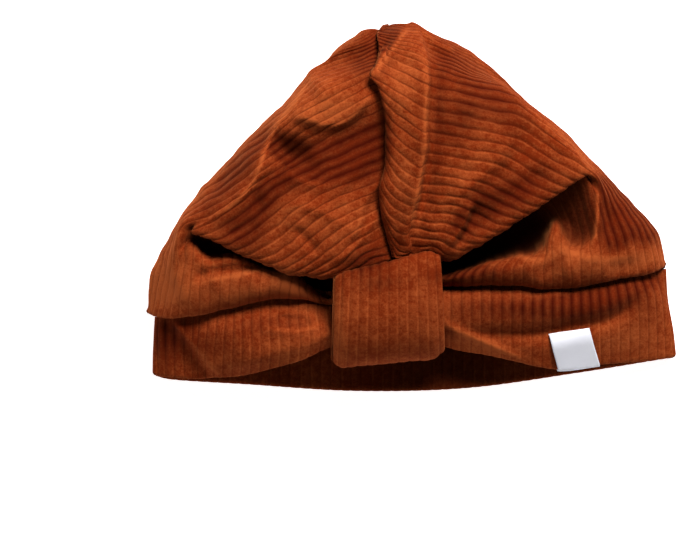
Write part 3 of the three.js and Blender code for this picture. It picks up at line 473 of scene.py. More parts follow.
BAND: tuple[BandSection, ...] = (
    BandSection(top=(-94, -41.3, 4.5), high=(-94.3, -46, 5), low=(-94.8, -54, 4.5),
                rim=(-95, -61, 3.6)),
    BandSection(top=(-92.2, -41, 9), high=(-92.6, -46.5, 9.5), low=(-92.6, -55, 7.5),
                rim=(-92.5, -61.8, 5.6)),
    BandSection(top=(-87.5, -41, 13), high=(-87.5, -47, 12.5), low=(-87.5, -56, 10.5),
                rim=(-87.5, -62.3, 8.4)),
    BandSection(top=(-80, -40, 16.5), high=(-80.5, -47, 17), low=(-81, -56, 12),
                rim=(-80.5, -62.8, 10)),
    BandSection(top=(-71, -38, 19), high=(-71.5, -46, 25), low=(-72.5, -57, 18), rim=(-72.5, -63, 13)),
    BandSection(top=(-61, -35.5, 20), high=(-61, -45, 28), low=(-61, -57, 25),
                rim=(-61.5, -62.2, 17.5)),
    BandSection(top=(-50, -33.5, 19.5), high=(-50, -42, 27), low=(-49.5, -53, 28),
                rim=(-50, -59.2, 22)),
    BandSection(top=(-40, -33.4, 17.5), high=(-40, -40, 24.5), low=(-39, -50, 29),
                rim=(-39.5, -56, 25)),
    BandSection(top=(-31, -34.9, 12.4), high=(-31, -40, 21.5), low=(-30, -47, 29),
                rim=(-30, -51.8, 25)),
    BandSection(top=(-20, -35.2, 14.8), high=(-20, -39.5, 22), low=(-20, -45, 28),
                rim=(-20, -49.5, 25)),
    BandSection(top=(-8, -33.8, 14.8), high=(-8, -38, 23), low=(-8, -43.5, 28), rim=(-8, -47.5, 25)),
    BandSection(top=(4, -29.5, 15.6), high=(5, -34.5, 24), low=(5, -41.5, 27.5), rim=(5, -49.5, 20.5)),
    BandSection(top=(15, -28.6, 16.6), high=(15, -34.5, 26), low=(15, -43.5, 25.5), rim=(15, -52.6, 18)),
    BandSection(top=(27, -28.2, 18.8), high=(27, -35, 28), low=(27, -46.5, 25.5), rim=(27, -54.8, 18.5)),
    BandSection(top=(40, -28.6, 19.8), high=(40, -36, 29), low=(40, -47.5, 25.3), rim=(40, -57.6, 19)),
    BandSection(top=(53, -29.2, 19.8), high=(53, -36.5, 28), low=(53, -48, 23.5),
                rim=(53.3, -59.5, 17.5)),
    BandSection(top=(66, -27.8, 18.8), high=(66.5, -35.5, 25.5), low=(67, -47, 20.5),
                rim=(67.5, -57.9, 14)),
    BandSection(top=(78, -25.4, 15.6), high=(80, -33, 19.5), low=(81, -46, 14.5), rim=(81, -56.8, 9.5)),
    BandSection(top=(86, -25.2, 11), high=(88.5, -33, 14), low=(89.5, -45, 10.5),
                rim=(89.8, -55.8, 7.2)),
    BandSection(top=(92.4, -23.8, 5), high=(93, -35, 5.2), low=(95, -46, 4.8), rim=(96, -54.6, 3.8)),
    BandSection(top=(86.5, -29.5, 0), high=(88, -37, 0), low=(90, -47, 0), rim=(91, -55.3, 0)),
    BandSection(top=(60, -35.2, 0), high=(60, -42, 0), low=(60, -54, 0), rim=(60, -60.3, 0)),
    BandSection(top=(20, -40.5, 0), high=(20, -47, 0), low=(20, -58, 0), rim=(20, -65.8, 0)),
    BandSection(top=(-20, -41, 0), high=(-20, -47, 0), low=(-20, -58, 0), rim=(-20, -66.9, 0)),
    BandSection(top=(-60, -41, 0), high=(-60, -47, 0), low=(-60, -57, 0), rim=(-60, -64.5, 0)),
    BandSection(top=(-88, -41, 0), high=(-89, -46, 0), low=(-89.5, -55, 0), rim=(-90, -62.4, 0)),
)
LOOP: tuple[LoopRib, ...] = (
    LoopRib(upper=(-28.6, -25.6), lower=(-29.4, -57), drop=6),
    LoopRib(upper=(-25, -23.9), lower=(-26.5, -59.4), drop=3),
    LoopRib(upper=(-18.5, -22.3), lower=(-19.5, -59), drop=1),
    LoopRib(upper=(-9.5, -20.3), lower=(-9.5, -58.2), drop=0),
    LoopRib(upper=(-1, -17.8), lower=(-0.5, -57.2), drop=0),
    LoopRib(upper=(5.5, -16.4), lower=(7, -56.6), drop=0.5),
    LoopRib(upper=(8.8, -17.6), lower=(10.8, -54), drop=1.6),
)
LOOP_PATH: tuple[LoopPoint, ...] = (
    LoopPoint(t=0.02, z=37.2),
    LoopPoint(t=0.05, z=40),
    LoopPoint(t=0.16, z=41.3),
    LoopPoint(t=0.35, z=41.5),
    LoopPoint(t=0.58, z=40.5),
    LoopPoint(t=0.8, z=36.5),
    LoopPoint(t=0.94, z=30.5),
    LoopPoint(t=1, z=23),
    LoopPoint(t=0.95, z=15),
    LoopPoint(t=0.8, z=9.5),
    LoopPoint(t=0.55, z=8),
    LoopPoint(t=0.4, z=8),
)
HALVES: dict[Side, HalfTables] = {
    Side.LEFT: HalfTables(
        pleats=LEFT_PLEATS, sides=LEFT_SIDES, overs=LEFT_OVERS, tip=LEFT_TIP,
        knots=(
            (2, 4.6, 9.5, 13, 14, 15),
            (2, 4.5, 8.3, 11.3, 13, 15),
            (2, 4.3, 7.5, 10, 12.2, 15),
            (2, 4, 6.2, 8.4, 10.8, 15),
        ),
        tail=(0.5, 1), shaded_ribs=(1.5, 0.4), shaded_row=5.8,
    ),
    Side.RIGHT: HalfTables(
        pleats=RIGHT_PLEATS, sides=RIGHT_SIDES, overs=RIGHT_OVERS, tip=RIGHT_TIP,
        knots=(
            (2, 4.4, 7.2, 12, 13.6, 15),
            (2, 4.4, 7.2, 11.2, 13, 15),
            (2, 4.3, 7, 10, 12, 15),
            (2, 4, 6.2, 8.4, 10.8, 15),
        ),
        tail=(0.25, 0.45, 0.6, 0.73, 0.84, 0.93, 1), shaded_ribs=(1.35, 0.95), shaded_row=5.4,
    ),
}
BACK_KNOTS = (2, 3.8, 5.8, 7.8, 10, 12, 13.2, 15)


# ---------------------------------------------------------------------------------------------------
# Curves and grids
# ---------------------------------------------------------------------------------------------------


def spline(points: Array, at: Array, closed: bool = False) -> Array:
    """Goes smoothly through points, evenly timed from one to the next.

    Args:
        points: the points, along the first axis.
        at: places from 0 to 1 along the curve.
        closed: whether the last point leads back to the first.

    Returns:
        The curve's points, along the first axis.
    """
    count = len(points)
    spans = count if closed else count - 1
    place = np.asarray(at, float) * spans
    i = np.minimum(np.floor(place).astype(int), spans - 1)
    w = (place - i).reshape((-1,) + (1,) * (points.ndim - 1))
    if closed:
        p0, p1, p2, p3 = (points[(i + k) % count] for k in (-1, 0, 1, 2))
    else:
        longer = np.concatenate([[2 * points[0] - points[1]], points, [2 * points[-1] - points[-2]]])
        p0, p1, p2, p3 = (longer[i + k] for k in range(4))
    t0, t1, t2 = (np.sum((b - a) ** 2, -1, keepdims=True) ** 0.25 for a, b in ((p0, p1), (p1, p2), (p2, p3)))
    t1 = np.where(t1 < 1e-4, 1.0, t1)
    t0 = np.where(t0 < 1e-4, t1, t0)
    t2 = np.where(t2 < 1e-4, t1, t2)
    m1 = ((p1 - p0) / t0 - (p2 - p0) / (t0 + t1) + (p2 - p1) / t1) * t1
    m2 = ((p2 - p1) / t1 - (p3 - p1) / (t1 + t2) + (p3 - p2) / t2) * t1
    return p1 + m1 * w + (3 * (p2 - p1) - 2 * m1 - m2) * w**2 + (2 * (p1 - p2) + m1 + m2) * w**3


def point(*values: float) -> Array:
    """A point as an array."""
    return np.array(values, float)


def at_height(p: Array, z: float) -> Array:
    """The same place at another height."""
    return point(p[0], p[1], z)


def mix(a: Array, b: Array, t: float, z: float | None = None) -> Array:
    """Goes part of the way from a to b, at its own height where one is given."""
    p = a + (b - a) * t
    return p if z is None else at_height(p, z)


def step(a: Array, b: Array, length: float, z: float) -> Array:
    """A step from a towards b in plan, at a height."""
    d = (b - a) * (1, 1, 0)
    return at_height(a + d / np.linalg.norm(d) * length, z)


def dome(a: Array, b: Array, t: float) -> Array:
    """Goes part of the way from a to b over a rounded shoulder where b is the higher one."""
    share = 1 - (1 - t) ** 2 if b[2] > a[2] else t
    return mix(a, b, t, a[2] + (b[2] - a[2]) * share)


def along(line: Sequence[StripPoint], y: float) -> Array:
    """A point on one of the strip's lines, as far up the crown as asked or as the line goes.

    Args:
        line: the strip's edge or ridge.
        y: how far up the crown.

    Returns:
        The point.
    """
    ys, xs, zs = np.array(line, float).T
    y = min(y, ys[-1])
    return point(np.interp(y, ys, xs), y, np.interp(y, ys, zs))


def smoothstep(value: Array, low: float, high: float) -> Array:
    """Rises smoothly from 0 at low to 1 at high."""
    t = np.clip((value - low) / (high - low), 0, 1)
    return t * t * (3 - 2 * t)


def neighbours(values: Array, axis: int) -> tuple[Array, Array]:
    """What lies before and after each value of a grid.

    Args:
        values: what lies at each column and row.
        axis: 0 to look along the columns, 1 along the rows.

    Returns:
        The values before, and the values after; the grid's edge is its own neighbour.
    """
    ends = [(1, 1) if i == axis else (0, 0) for i in range(values.ndim)]
    longer = np.pad(values, ends, mode="edge")
    before, after = (np.take(longer, range(k, k + values.shape[axis]), axis) for k in (0, 2))
    return before, after


def softened(values: Array, passes: int) -> Array:
    """A grid with its small unevenness spread out over its neighbours.

    Args:
        values: what lies at each column and row.
        passes: how often the neighbours are mixed.

    Returns:
        The softened grid.
    """
    for _ in range(passes):
        for axis in (0, 1):
            before, after = neighbours(values, axis)
            values = (before + 2 * values + after) / 4
    return values


def waves(grid: Array, length: float) -> Array:
    """An uneven swell from about -1 to 1 over the hat, seen from above.

    Args:
        grid: points in millimetres.
        length: how far its crests are apart.

    Returns:
        The swell's height at each point.
    """
    total = np.zeros(grid.shape[:-1])
    for k in range(6):
        angle = 2.4 * k + 0.5
        across = grid[..., 0] * math.cos(angle) + grid[..., 1] * math.sin(angle)
        total += np.sin(math.tau * across / (length * (0.75 + 0.1 * k)) + 1.9 * k)
    return total / 2.5


def oval(grid: Array, spot: Dent | ShadePatch) -> Array:
    """How much of a soft oval spot lies over each point.

    Args:
        grid: points in millimetres.
        spot: the spot, seen from above.

    Returns:
        Shares from 1 in its middle to 0 well outside.
    """
    angle = math.radians(spot.angle)
    dx, dy = grid[..., 0] - spot.x, grid[..., 1] - spot.y
    u = (dx * math.cos(angle) + dy * math.sin(angle)) / spot.length
    v = (dy * math.cos(angle) - dx * math.sin(angle)) / spot.width
    return np.exp(-u * u - v * v)


def beside(grid: Array, crease: Crease) -> tuple[Array, Array, Array]:
    """Where points lie beside a crease, seen from above.

    Args:
        grid: points in millimetres.
        crease: the crease.

    Returns:
        How near each point is, how far it is to the crease's left, and how much of the crease is left
        there, from 0 at its ends to 1.
    """
    place = grid[..., :2]
    knots = np.array(crease.line, float)
    line = spline(np.column_stack([knots, np.zeros(len(knots))]), np.linspace(0, 1, 3 * len(knots)))[:, :2]
    lengths = np.linalg.norm(np.diff(line, axis=0), axis=-1)
    before = np.concatenate([[0], np.cumsum(lengths)])
    nearest = np.full(place.shape[:-1], np.inf)
    aside, way = np.zeros((2, *place.shape[:-1]))
    for start, end, length, done in zip(line, line[1:], lengths, before):
        forth = (end - start) / length
        t = np.clip((place - start) @ forth, 0, length)
        off = place - (start + t[..., None] * forth)
        distance = np.hypot(off[..., 0], off[..., 1])
        closer = distance < nearest
        nearest = np.where(closer, distance, nearest)
        aside = np.where(closer, forth[0] * off[..., 1] - forth[1] * off[..., 0], aside)
        way = np.where(closer, done + t, way)
    return nearest, aside, smoothstep(np.minimum(way, before[-1] - way), 0, 0.22 * before[-1])


def creased(grid: Array, shares: dict[Part, Array]) -> Array:
    """Lifts the creases out of a grid.

    Args:
        grid: points in millimetres.
        shares: how much each point belongs to a part that keeps creases.

    Returns:
        The grid with its creases.
    """
    lift = np.zeros(grid.shape[:-1])
    for part, share in shares.items():
        for crease in CREASES[part]:
            nearest, aside, present = beside(grid, crease)
            reach = np.where(aside > 0, crease.left, crease.right)
            rounded = np.hypot(nearest, CLOTH / 2) - CLOTH / 2
            lift += crease.rise * np.clip(1 - rounded / reach, 0, 1) ** 2 * present * share
    return grid + lift[..., None] * (0, 0, 1)


def dented(grid: Array) -> Array:
    """Sinks the dents into the front of a grid, and keeps it above the floor.

    Args:
        grid: points in millimetres.

    Returns:
        The grid with its dents.
    """
    depth = sum(dent.depth * oval(grid, dent) for dent in DENTS)
    z = grid[..., 2] - smoothstep(grid[..., 2], *DENT_HEIGHTS) * depth
    return np.concatenate([grid[..., :2], np.maximum(z, 0)[..., None]], -1)


def painted_light_and_shade(grid: Array, shares: dict[Part, Array | float]) -> Array:
    """The painted light and shade at each point of a grid, with painted highlights along creases, 0 where
    there is none.

    Args:
        grid: points in millimetres.
        shares: how much each point belongs to a part that keeps creases.

    Returns:
        The painted shade, which is positive where light is painted.
    """
    shade = sum(patch.shade * oval(grid, patch) for patch in SHADE_PATCHES)
    for part, share in shares.items():
        for crease in CREASES[part]:
            # Painted highlights along the crests of the creases.
            if crease.worn:
                nearest, _, present = beside(grid, crease)
                shade += crease.worn * np.exp(-((nearest / EDGE_HIGHLIGHT) ** 2)) * present * share
    return shade * smoothstep(grid[..., 2], *PAINTED_SHADE_HEIGHTS)


def grid_normals(grid: Array, closed: tuple[bool, bool] = (False, False)) -> Array:
    """Unit normals of a grid of points: across its columns times along its rows.

    Args:
        grid: the points by column and row.
        closed: whether its last column repeats the first one, and its last row the first row.

    Returns:
        The normals by column and row.
    """

    def slope(axis: int) -> Array:
        """How far the neighbours of each point lie apart.

        Args:
            axis: 0 to look along the columns, 1 along the rows.

        Returns:
            The way from the one before to the one after.
        """
        if not closed[axis]:
            return np.gradient(grid, axis=axis)
        once = np.take(grid, range(grid.shape[axis] - 1), axis)
        apart = np.roll(once, -1, axis) - np.roll(once, 1, axis)
        return np.concatenate([apart, np.take(apart, [0], axis)], axis)

    normal = np.cross(slope(0), slope(1))
    return normal / np.maximum(np.linalg.norm(normal, axis=-1, keepdims=True), 1e-12)


def rib_height(phase: Array) -> Array:
    """The height of the wide ribs, from 0 in a groove to 1 along a rib's top."""
    off = np.abs(phase - np.floor(phase) - 0.5) * 2
    return (1 - off**3) ** 0.9


def turned(middle: Array, out: Array, on: Array, radius: float, count: int) -> list[Array]:
    """Turns half way round a fold.

    Args:
        middle: the fold's middle, a point or a row of points.
        out: the way that the fold's first face looks.
        on: the way that the fold bulges.
        radius: half the fold's thickness.
        count: how many places, with those on its two faces.

    Returns:
        What lies at each place round the fold.
    """
    return [middle + radius * (out * math.cos(a) + on * math.sin(a)) for a in np.linspace(0, math.pi, count)]


def even_places(steps: Array, count: int) -> Array:
    """Places from 0 to 1 that are evenly spaced by length.

    Args:
        steps: the lengths of equal steps of the parameter.
        count: how many places.

    Returns:
        The places.
    """
    total = np.concatenate([[0], np.cumsum(steps)])
    return np.interp(np.linspace(0, total[-1], count), total, np.linspace(0, 1, len(total)))


# ---------------------------------------------------------------------------------------------------
# Meshes
# ---------------------------------------------------------------------------------------------------


def select_only(piece: bpy.types.Object) -> None:
    """Makes one object the only one selected and the active one.

    Args:
        piece: the object.
    """
    bpy.ops.object.select_all(action="DESELECT")
    piece.select_set(True)
    bpy.context.view_layer.objects.active = piece


def cloth_mesh(name: str, grid: Array, fields: dict[str, Array], merge: bool = False) -> bpy.types.Object:
    """Models a sheet as a grid primitive whose points are laid over a surface.

    Args:
        name: the piece's name.
        grid: points by column and row, in millimetres, with columns to the right of rows seen outside.
        fields: values by column and row that the finish reads, by attribute name.
        merge: whether the sheet's ends meet and are sewn together.

    Returns:
        The piece, whose faces point outwards.
    """
    columns, rows = grid.shape[:2]
    bpy.ops.object.select_all(action="DESELECT")
    bpy.ops.mesh.primitive_grid_add(x_subdivisions=columns - 1, y_subdivisions=rows - 1, size=2)
    piece = bpy.context.active_object
    piece.name = name
    mesh = piece.data
    mesh.name = name
    flat = np.empty(len(mesh.vertices) * 3)
    mesh.vertices.foreach_get("co", flat)
    flat = flat.reshape(-1, 3)
    c = np.rint((flat[:, 0] + 1) / 2 * (columns - 1)).astype(int)
    r = np.rint((flat[:, 1] + 1) / 2 * (rows - 1)).astype(int)
    mesh.vertices.foreach_set("co", (grid[c, r] * MM).ravel())
    for key, values in fields.items():
        layer = mesh.attributes.new(key, "FLOAT", "POINT")
        layer.data.foreach_set("value", values[c, r].astype(np.float32))
    mesh.attributes.new("place", "INT", "POINT").data.foreach_set("value", (c * rows + r).astype(np.int32))
    mesh.update()
    if merge:
        select_only(piece)
        bpy.ops.object.mode_set(mode="EDIT")
        bpy.ops.mesh.select_all(action="SELECT")
        bpy.ops.mesh.remove_doubles(threshold=1e-6)
        bpy.ops.object.mode_set(mode="OBJECT")
    return piece


def wall_depths(grid: Array, thickness: float) -> Array:
    """How thick a sheet can be at each point without its inner face crossing itself in a tight fold.

    Args:
        grid: the sheet's points by column and row.
        thickness: the full thickness in millimetres.

    Returns:
        The thickness by column and row.
    """
    normals = -grid_normals(grid)
    depth = np.full(grid.shape[:2], thickness)
    for _ in range(24):
        inner = grid - normals * depth[..., None]
        for axis in (0, 1):
            out, into = np.diff(grid, axis=axis), np.diff(inner, axis=axis)
            tight = np.sum(out * into, -1) < 0.15 * np.sum(out * out, -1)
            ends = [(1, 1) if i == axis else (0, 0) for i in range(2)]
            longer = np.pad(tight, ends)
            before, after = (np.take(longer, range(k, k + grid.shape[axis]), axis) for k in (0, 1))
            depth = np.where(before | after, depth * 0.85, depth)
    for axis in (0, 1) * 3:
        before, after = neighbours(depth, axis)
        depth = np.minimum(np.minimum(before, after), depth)
    return np.minimum(softened(depth, 2), depth)


def thicken(piece: bpy.types.Object, thickness: float, grid: Array | None = None) -> None:
    """Gives a sheet its thickness, inwards and no lower than the floor.

    Args:
        piece: the sheet.
        thickness: the thickness in millimetres.
        grid: the sheet's points by column and row, where its folds may be too tight for it.
    """
    wall = piece.modifiers.new("Thickness", "SOLIDIFY")
    wall.thickness = thickness * MM
    wall.offset = -1
    wall.use_rim = True
    if grid is not None:
        levels = 16
        shares = np.rint(wall_depths(grid, thickness) / thickness * levels).astype(int)
        layer = piece.vertex_groups.new(name="thickness")
        wall.vertex_group = layer.name
        wall.thickness_vertex_group = 0.05
        order = np.empty(len(piece.data.vertices), int)
        piece.data.attributes["place"].data.foreach_get("value", order)
        for level in range(1, levels + 1):
            layer.add(np.flatnonzero(shares.ravel()[order] == level).tolist(), level / levels, "REPLACE")
    select_only(piece)
    bpy.ops.object.modifier_apply(modifier=wall.name)
    piece.vertex_groups.clear()
    spots = np.empty(3 * len(piece.data.vertices))
    piece.data.vertices.foreach_get("co", spots)
    spots[2::3] = np.maximum(spots[2::3], 0)
    piece.data.vertices.foreach_set("co", spots)


# ---------------------------------------------------------------------------------------------------
# Shaders
# ---------------------------------------------------------------------------------------------------


class Value:
    """A shader socket that takes part in ordinary maths."""

    def __init__(self, shader: "Shader", socket: bpy.types.NodeSocket) -> None:
        """Wraps one output socket of a shader."""
        self.shader = shader
        self.socket = socket

    def _maths(self, operation: str, *values: Any) -> "Value":
        """Adds a Math node."""
        return self.shader.node("ShaderNodeMath", {"operation": operation}, dict(enumerate(values)))[0]

    def __add__(self, other: Any) -> "Value":
        """self + other."""
        return self._maths("ADD", self, other)

    def __radd__(self, other: Any) -> "Value":
        """other + self."""
        return self._maths("ADD", other, self)

    def __sub__(self, other: Any) -> "Value":
        """self - other."""
        return self._maths("SUBTRACT", self, other)

    def __rsub__(self, other: Any) -> "Value":
        """other - self."""
        return self._maths("SUBTRACT", other, self)

    def __mul__(self, other: Any) -> "Value":
        """self * other."""
        return self._maths("MULTIPLY", self, other)

    def __rmul__(self, other: Any) -> "Value":
        """other * self."""
        return self._maths("MULTIPLY", other, self)

    def __abs__(self) -> "Value":
        """The absolute value."""
        return self._maths("ABSOLUTE", self)

    def fraction(self) -> "Value":
        """What is left over the whole number below."""
        return self._maths("FRACT", self)

    def clamp(self) -> "Value":
        """Kept between 0 and 1."""
        return self._maths("MINIMUM", self._maths("MAXIMUM", self, 0.0), 1.0)


class Made:
    """A node that was made, whose outputs are read by name or number."""

    def __init__(self, shader: "Shader", node: bpy.types.Node) -> None:
        """Keeps the node with its shader."""
        self.shader = shader
        self.node = node

    def __getitem__(self, key: str | int) -> Value:
        """An output, as a value."""
        return Value(self.shader, self.node.outputs[key])


class Shader:
    """A material under construction."""

    def __init__(self, name: str) -> None:
        """Starts an empty material.

        Args:
            name: the material's name.
        """
        self.material = bpy.data.materials.new(name)
        self.material.use_nodes = True
        self.tree = self.material.node_tree
        self.tree.nodes.clear()

    def node(self, kind: str, settings: dict[str, Any], inputs: dict[Any, Any]) -> Made:
        """Adds any node.

        Args:
            kind: the node's type.
            settings: its own properties, which are set first.
            inputs: values or links of its sockets, by name or number.

        Returns:
            The node that was made.
        """
        made = self.tree.nodes.new(kind)
        for key, setting in settings.items():
            setattr(made, key, setting)
        for key, value in inputs.items():
            if isinstance(value, Value):
                self.tree.links.new(value.socket, made.inputs[key])
            else:
                made.inputs[key].default_value = value
        return Made(self, made)

    def blend(self, share: Value, a: Any, b: Any) -> Value:
        """Mixes two colours.

        Args:
            share: how much of the second one.
            a: the first colour.
            b: the second colour.

        Returns:
            The colour.
        """
        # The Mix node's colour sockets are its seventh and eighth.
        return self.node("ShaderNodeMix", {"data_type": "RGBA"}, {0: share, 6: a, 7: b})[2]

    def attribute(self, name: str) -> Value:
        """A value that the mesh holds."""
        return self.node("ShaderNodeAttribute", {"attribute_name": name}, {})["Fac"]

    def place(self) -> Value:
        """Where a point of the object lies."""
        return self.node("ShaderNodeTexCoord", {}, {})["Object"]

    def noise(self, scale: float, detail: float, roughness: float = 0.55) -> Value:
        """Cloudy noise from 0 to 1 over the object.

        Args:
            scale: how many clouds in a metre.
            detail: how many finer layers it has.
            roughness: how strong those are.

        Returns:
            The noise.
        """
        inputs = {"Vector": self.place(), "Scale": scale, "Detail": detail, "Roughness": roughness}
        return self.node("ShaderNodeTexNoise", {}, inputs)["Fac"]

    def bump(self, height: Value, strength: float, distance: float) -> Value:
        """Normals of a small relief.

        Args:
            height: the relief, from 0 to 1.
            strength: how much of it shows.
            distance: its full height in metres.

        Returns:
            The normals.
        """
        inputs = {"Strength": strength, "Distance": distance, "Height": height}
        return self.node("ShaderNodeBump", {}, inputs)["Normal"]

    def finish(self, inputs: dict[str, Any]) -> bpy.types.Material:
        """Ends the material in one Principled surface.

        Args:
            inputs: values or links of the surface's sockets, by name.

        Returns:
            The material.
        """
        surface = self.node("ShaderNodeBsdfPrincipled", {}, inputs)
        self.node("ShaderNodeOutputMaterial", {}, {"Surface": surface[0]})
        return self.material


def rgba(colour: Colour) -> tuple[float, float, float, float]:
    """A colour with its alpha."""
    return (*colour, 1.0)


@dataclass(frozen=True)
class Velour:
    """Wide-rib cotton velour: a dense short pile, with painted shade in its grooves, folds and dark patches,
    and painted highlights along its ribs' edges and its creases' crests.
    """

    # painted shadow: in the grooves between the ribs and in the dark patches
    painted_shadow_colour: Colour = (0.07, 0.0065, 0.0014)
    # painted shadow in the pleats' cavities and on the band's inside
    cavity_shadow_colour: Colour = (0.02, 0.0018, 0.0007)
    pile: Colour = (0.205, 0.0300, 0.0053)
    # the pale end: random wear of the pile, and the colour of the painted highlights and painted light
    worn: Colour = (0.39, 0.098, 0.027)
    sheen: Colour = (1.0, 0.36, 0.12)

    def material(self) -> bpy.types.Material:
        """Makes the velour's material."""
        shader = Shader("velour")
        # The painted light and shade of the patches and creases, positive where light is painted.
        rib, shade = shader.attribute("rib"), shader.attribute("painted_shade")
        cloud = shader.noise(34, 4, 0.62) - 0.5
        mottle = shader.noise(260, 2, 0.6)
        tufts = shader.noise(600, 3, 0.65)
        hairs = shader.noise(1700, 2, 0.7)
        patchy = ((shader.noise(85, 2, 0.5) - 0.35) * 3).clamp()
        off_top = abs(rib.fraction() - 0.5) * 2 + (tufts - 0.5) * 0.5
        # Painted shade in the grooves between the ribs, as strong as each part asks.
        groove_shadow = ((off_top - 0.75) * 4).clamp() * (0.75 - patchy * 0.6) * shader.attribute("groove_shade")
        # A painted highlight along one side of each groove, broken up in patches.
        edge = (1 - abs(rib.fraction() + (tufts - 0.5) * 0.3 - 0.84) * 7).clamp() * patchy
        tone = cloud * 1.2 + (tufts - 0.5) * 1.5 + (hairs - 0.5) * 1.2 + (mottle - 0.5) * 0.9
        # Mixes random wear of the pile with the painted highlights and the patches' painted light.
        wear_and_highlight = (tone + edge * 0.55 + 0.27 + shade.clamp()).clamp()
        # Painted shadow in the dark patches, weaker on the ribs' tops.
        patch_shadow = ((shade * -1.6).clamp() * (off_top * 0.55 + mottle * 0.5 + 0.2)).clamp()
        colour = shader.blend(wear_and_highlight, rgba(self.pile), rgba(self.worn))
        colour = shader.blend(groove_shadow, colour, rgba(self.painted_shadow_colour))
        colour = shader.blend(patch_shadow, colour, rgba(self.painted_shadow_colour))
        # Painted shade in the pleats' cavities and on the band's inside.
        colour = shader.blend(shader.attribute("cavity_shade"), colour, rgba(self.cavity_shadow_colour))
        return shader.finish({
            "Base Color": colour,
            "Roughness": 0.92,
            "Specular IOR Level": 0.03,
            "Sheen Weight": 0.22,
            "Sheen Roughness": 0.4,
            "Sheen Tint": rgba(self.sheen),
            "Normal": shader.bump(tufts * 0.5 + hairs * 0.5, 0.55, 0.0006),
        })


@dataclass(frozen=True)
class LabelWeave:
    """A smooth white woven ribbon, plain all over."""

    thread: Colour = (0.88, 0.88, 0.93)
    shade: Colour = (0.66, 0.66, 0.73)

    def material(self) -> bpy.types.Material:
        """Makes the ribbon's material."""
        shader = Shader("label_weave")
        inputs = {"Vector": shader.place(), "Scale": 900.0, "Distortion": 0.6}
        settings = {"wave_type": "BANDS", "bands_direction": "Y"}
        weft = shader.node("ShaderNodeTexWave", settings, inputs)["Fac"]
        cloud = shader.noise(160, 3)
        colour = shader.blend((weft * 0.25 + cloud * 0.35).clamp(), rgba(self.thread), rgba(self.shade))
        return shader.finish({
            "Base Color": colour,
            "Roughness": 0.55,
            "Sheen Weight": 0.2,
            "Normal": shader.bump(weft, 0.25, 0.0002),
        })


@dataclass(frozen=True)
class PaleFloor:
    """A plain studio floor that shines white by itself."""

    colour: Colour = (0.86, 0.86, 0.86)

    def material(self) -> bpy.types.Material:
        """Makes the floor's material."""
        return Shader("pale_floor").finish({
            "Base Color": rgba(self.colour),
            "Roughness": 0.9,
            "Emission Color": rgba(self.colour),
            "Emission Strength": 1.0,
        })


def dress(piece: bpy.types.Object, material: bpy.types.Material, node: str) -> None:
    """Finishes a piece and ties it to the frame.

    Args:
        piece: the finished mesh.
        material: its material.
        node: the CAD node that it stands for.
    """
    piece.data.materials.clear()
    piece.data.materials.append(material)
    select_only(piece)
    bpy.ops.object.shade_smooth()
    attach(piece, "root")
    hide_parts(node)
    LOG.info("%s: %d faces", piece.name, len(piece.data.polygons))


# ---------------------------------------------------------------------------------------------------
# The crown
# ---------------------------------------------------------------------------------------------------


def band_seam_y(x: float) -> float:
    """Where the band meets the crown on the back: straight on the left, rising on the right."""
    return -40.5 + 14 * (max(x, 0) / 93) ** 2


def pleat_points(s: PleatRib) -> list[Array]:
    """The points of a pleated rib.

    Args:
        s: the rib's row in the tables.

    Returns:
        Its points from the band's seam to the middle of the panel.
    """
    nose, top, edge, mid = (point(*p) for p in (s.nose, s.top, s.edge, s.mid))
    under = edge[2] - 2 * FOLD
    roll = s.crest - nose[2]
    return [
        nose + (0, 5, -1.2 * FOLD),
        nose + (0, 2, -1.3 * FOLD),
        nose,
        mix(nose, top, 0.22, nose[2] + 0.72 * roll),
        mix(nose, top, 0.58, s.crest),
        mix(nose, top, 0.88, 0.45 * s.crest + 0.55 * top[2]),
        at_height(top, 0.7 * top[2] + 0.3 * s.valley),
        mix(top, edge, 0.4, s.valley),
        step(edge, mid, 0.75 * s.pleat, s.valley + 1),
        step(edge, mid, s.pleat, (s.valley + under) / 2),
        step(edge, mid, 0.75 * s.pleat, under),
        step(edge, mid, 1.2, under + 0.3),
        at_height(edge, edge[2] - FOLD),
        step(edge, mid, 1.8, edge[2]),
        mix(edge, mid, 0.5, (edge[2] + mid[2]) / 2 + 0.8),
        mid,
    ]


def plain_points(path: list[Array], hem: Array, knots: Sequence[float]) -> list[Array]:
    """As many points as a pleated rib has, along a smooth path from a narrow hem.

    Args:
        path: the path's own points.
        hem: where the rib starts.
        knots: which of the rib's points lies on each of the path's own.

    Returns:
        The rib's points up to the middle of the panel.
    """
    spots = []
    for i in range(2, PANEL_POINTS):
        k = min(max(n for n, knot in enumerate(knots) if knot <= i), len(path) - 2)
        spots.append((k + (i - knots[k]) / (knots[k + 1] - knots[k])) / (len(path) - 1))
    return [hem, mix(path[0], hem, 0.5), *spline(np.array(path), np.array(spots))]


def side_path(s: SideRib) -> list[Array]:
    """The named points of a side rib, in order."""
    return [point(*p) for p in (s.nose, s.low, s.corner, s.side, s.shoulder, s.mid)]


def side_points(s: SideRib, knots: Sequence[float]) -> list[Array]:
    """The points of a side rib.

    Args:
        s: the rib's row in the tables.
        knots: which of a pleated rib's points lies on each of its named ones.

    Returns:
        Its points from the band's seam to the middle of the panel.
    """
    path = side_path(s)
    inwards, fall = -np.sign(path[0][0]), min(2.6, 0.4 * path[0][2])
    points = plain_points(path, path[0] + (2 * inwards, 4.5, -fall), knots)
    points[1] = path[0] + (0.8 * inwards, 1.6, -fall)
    return points


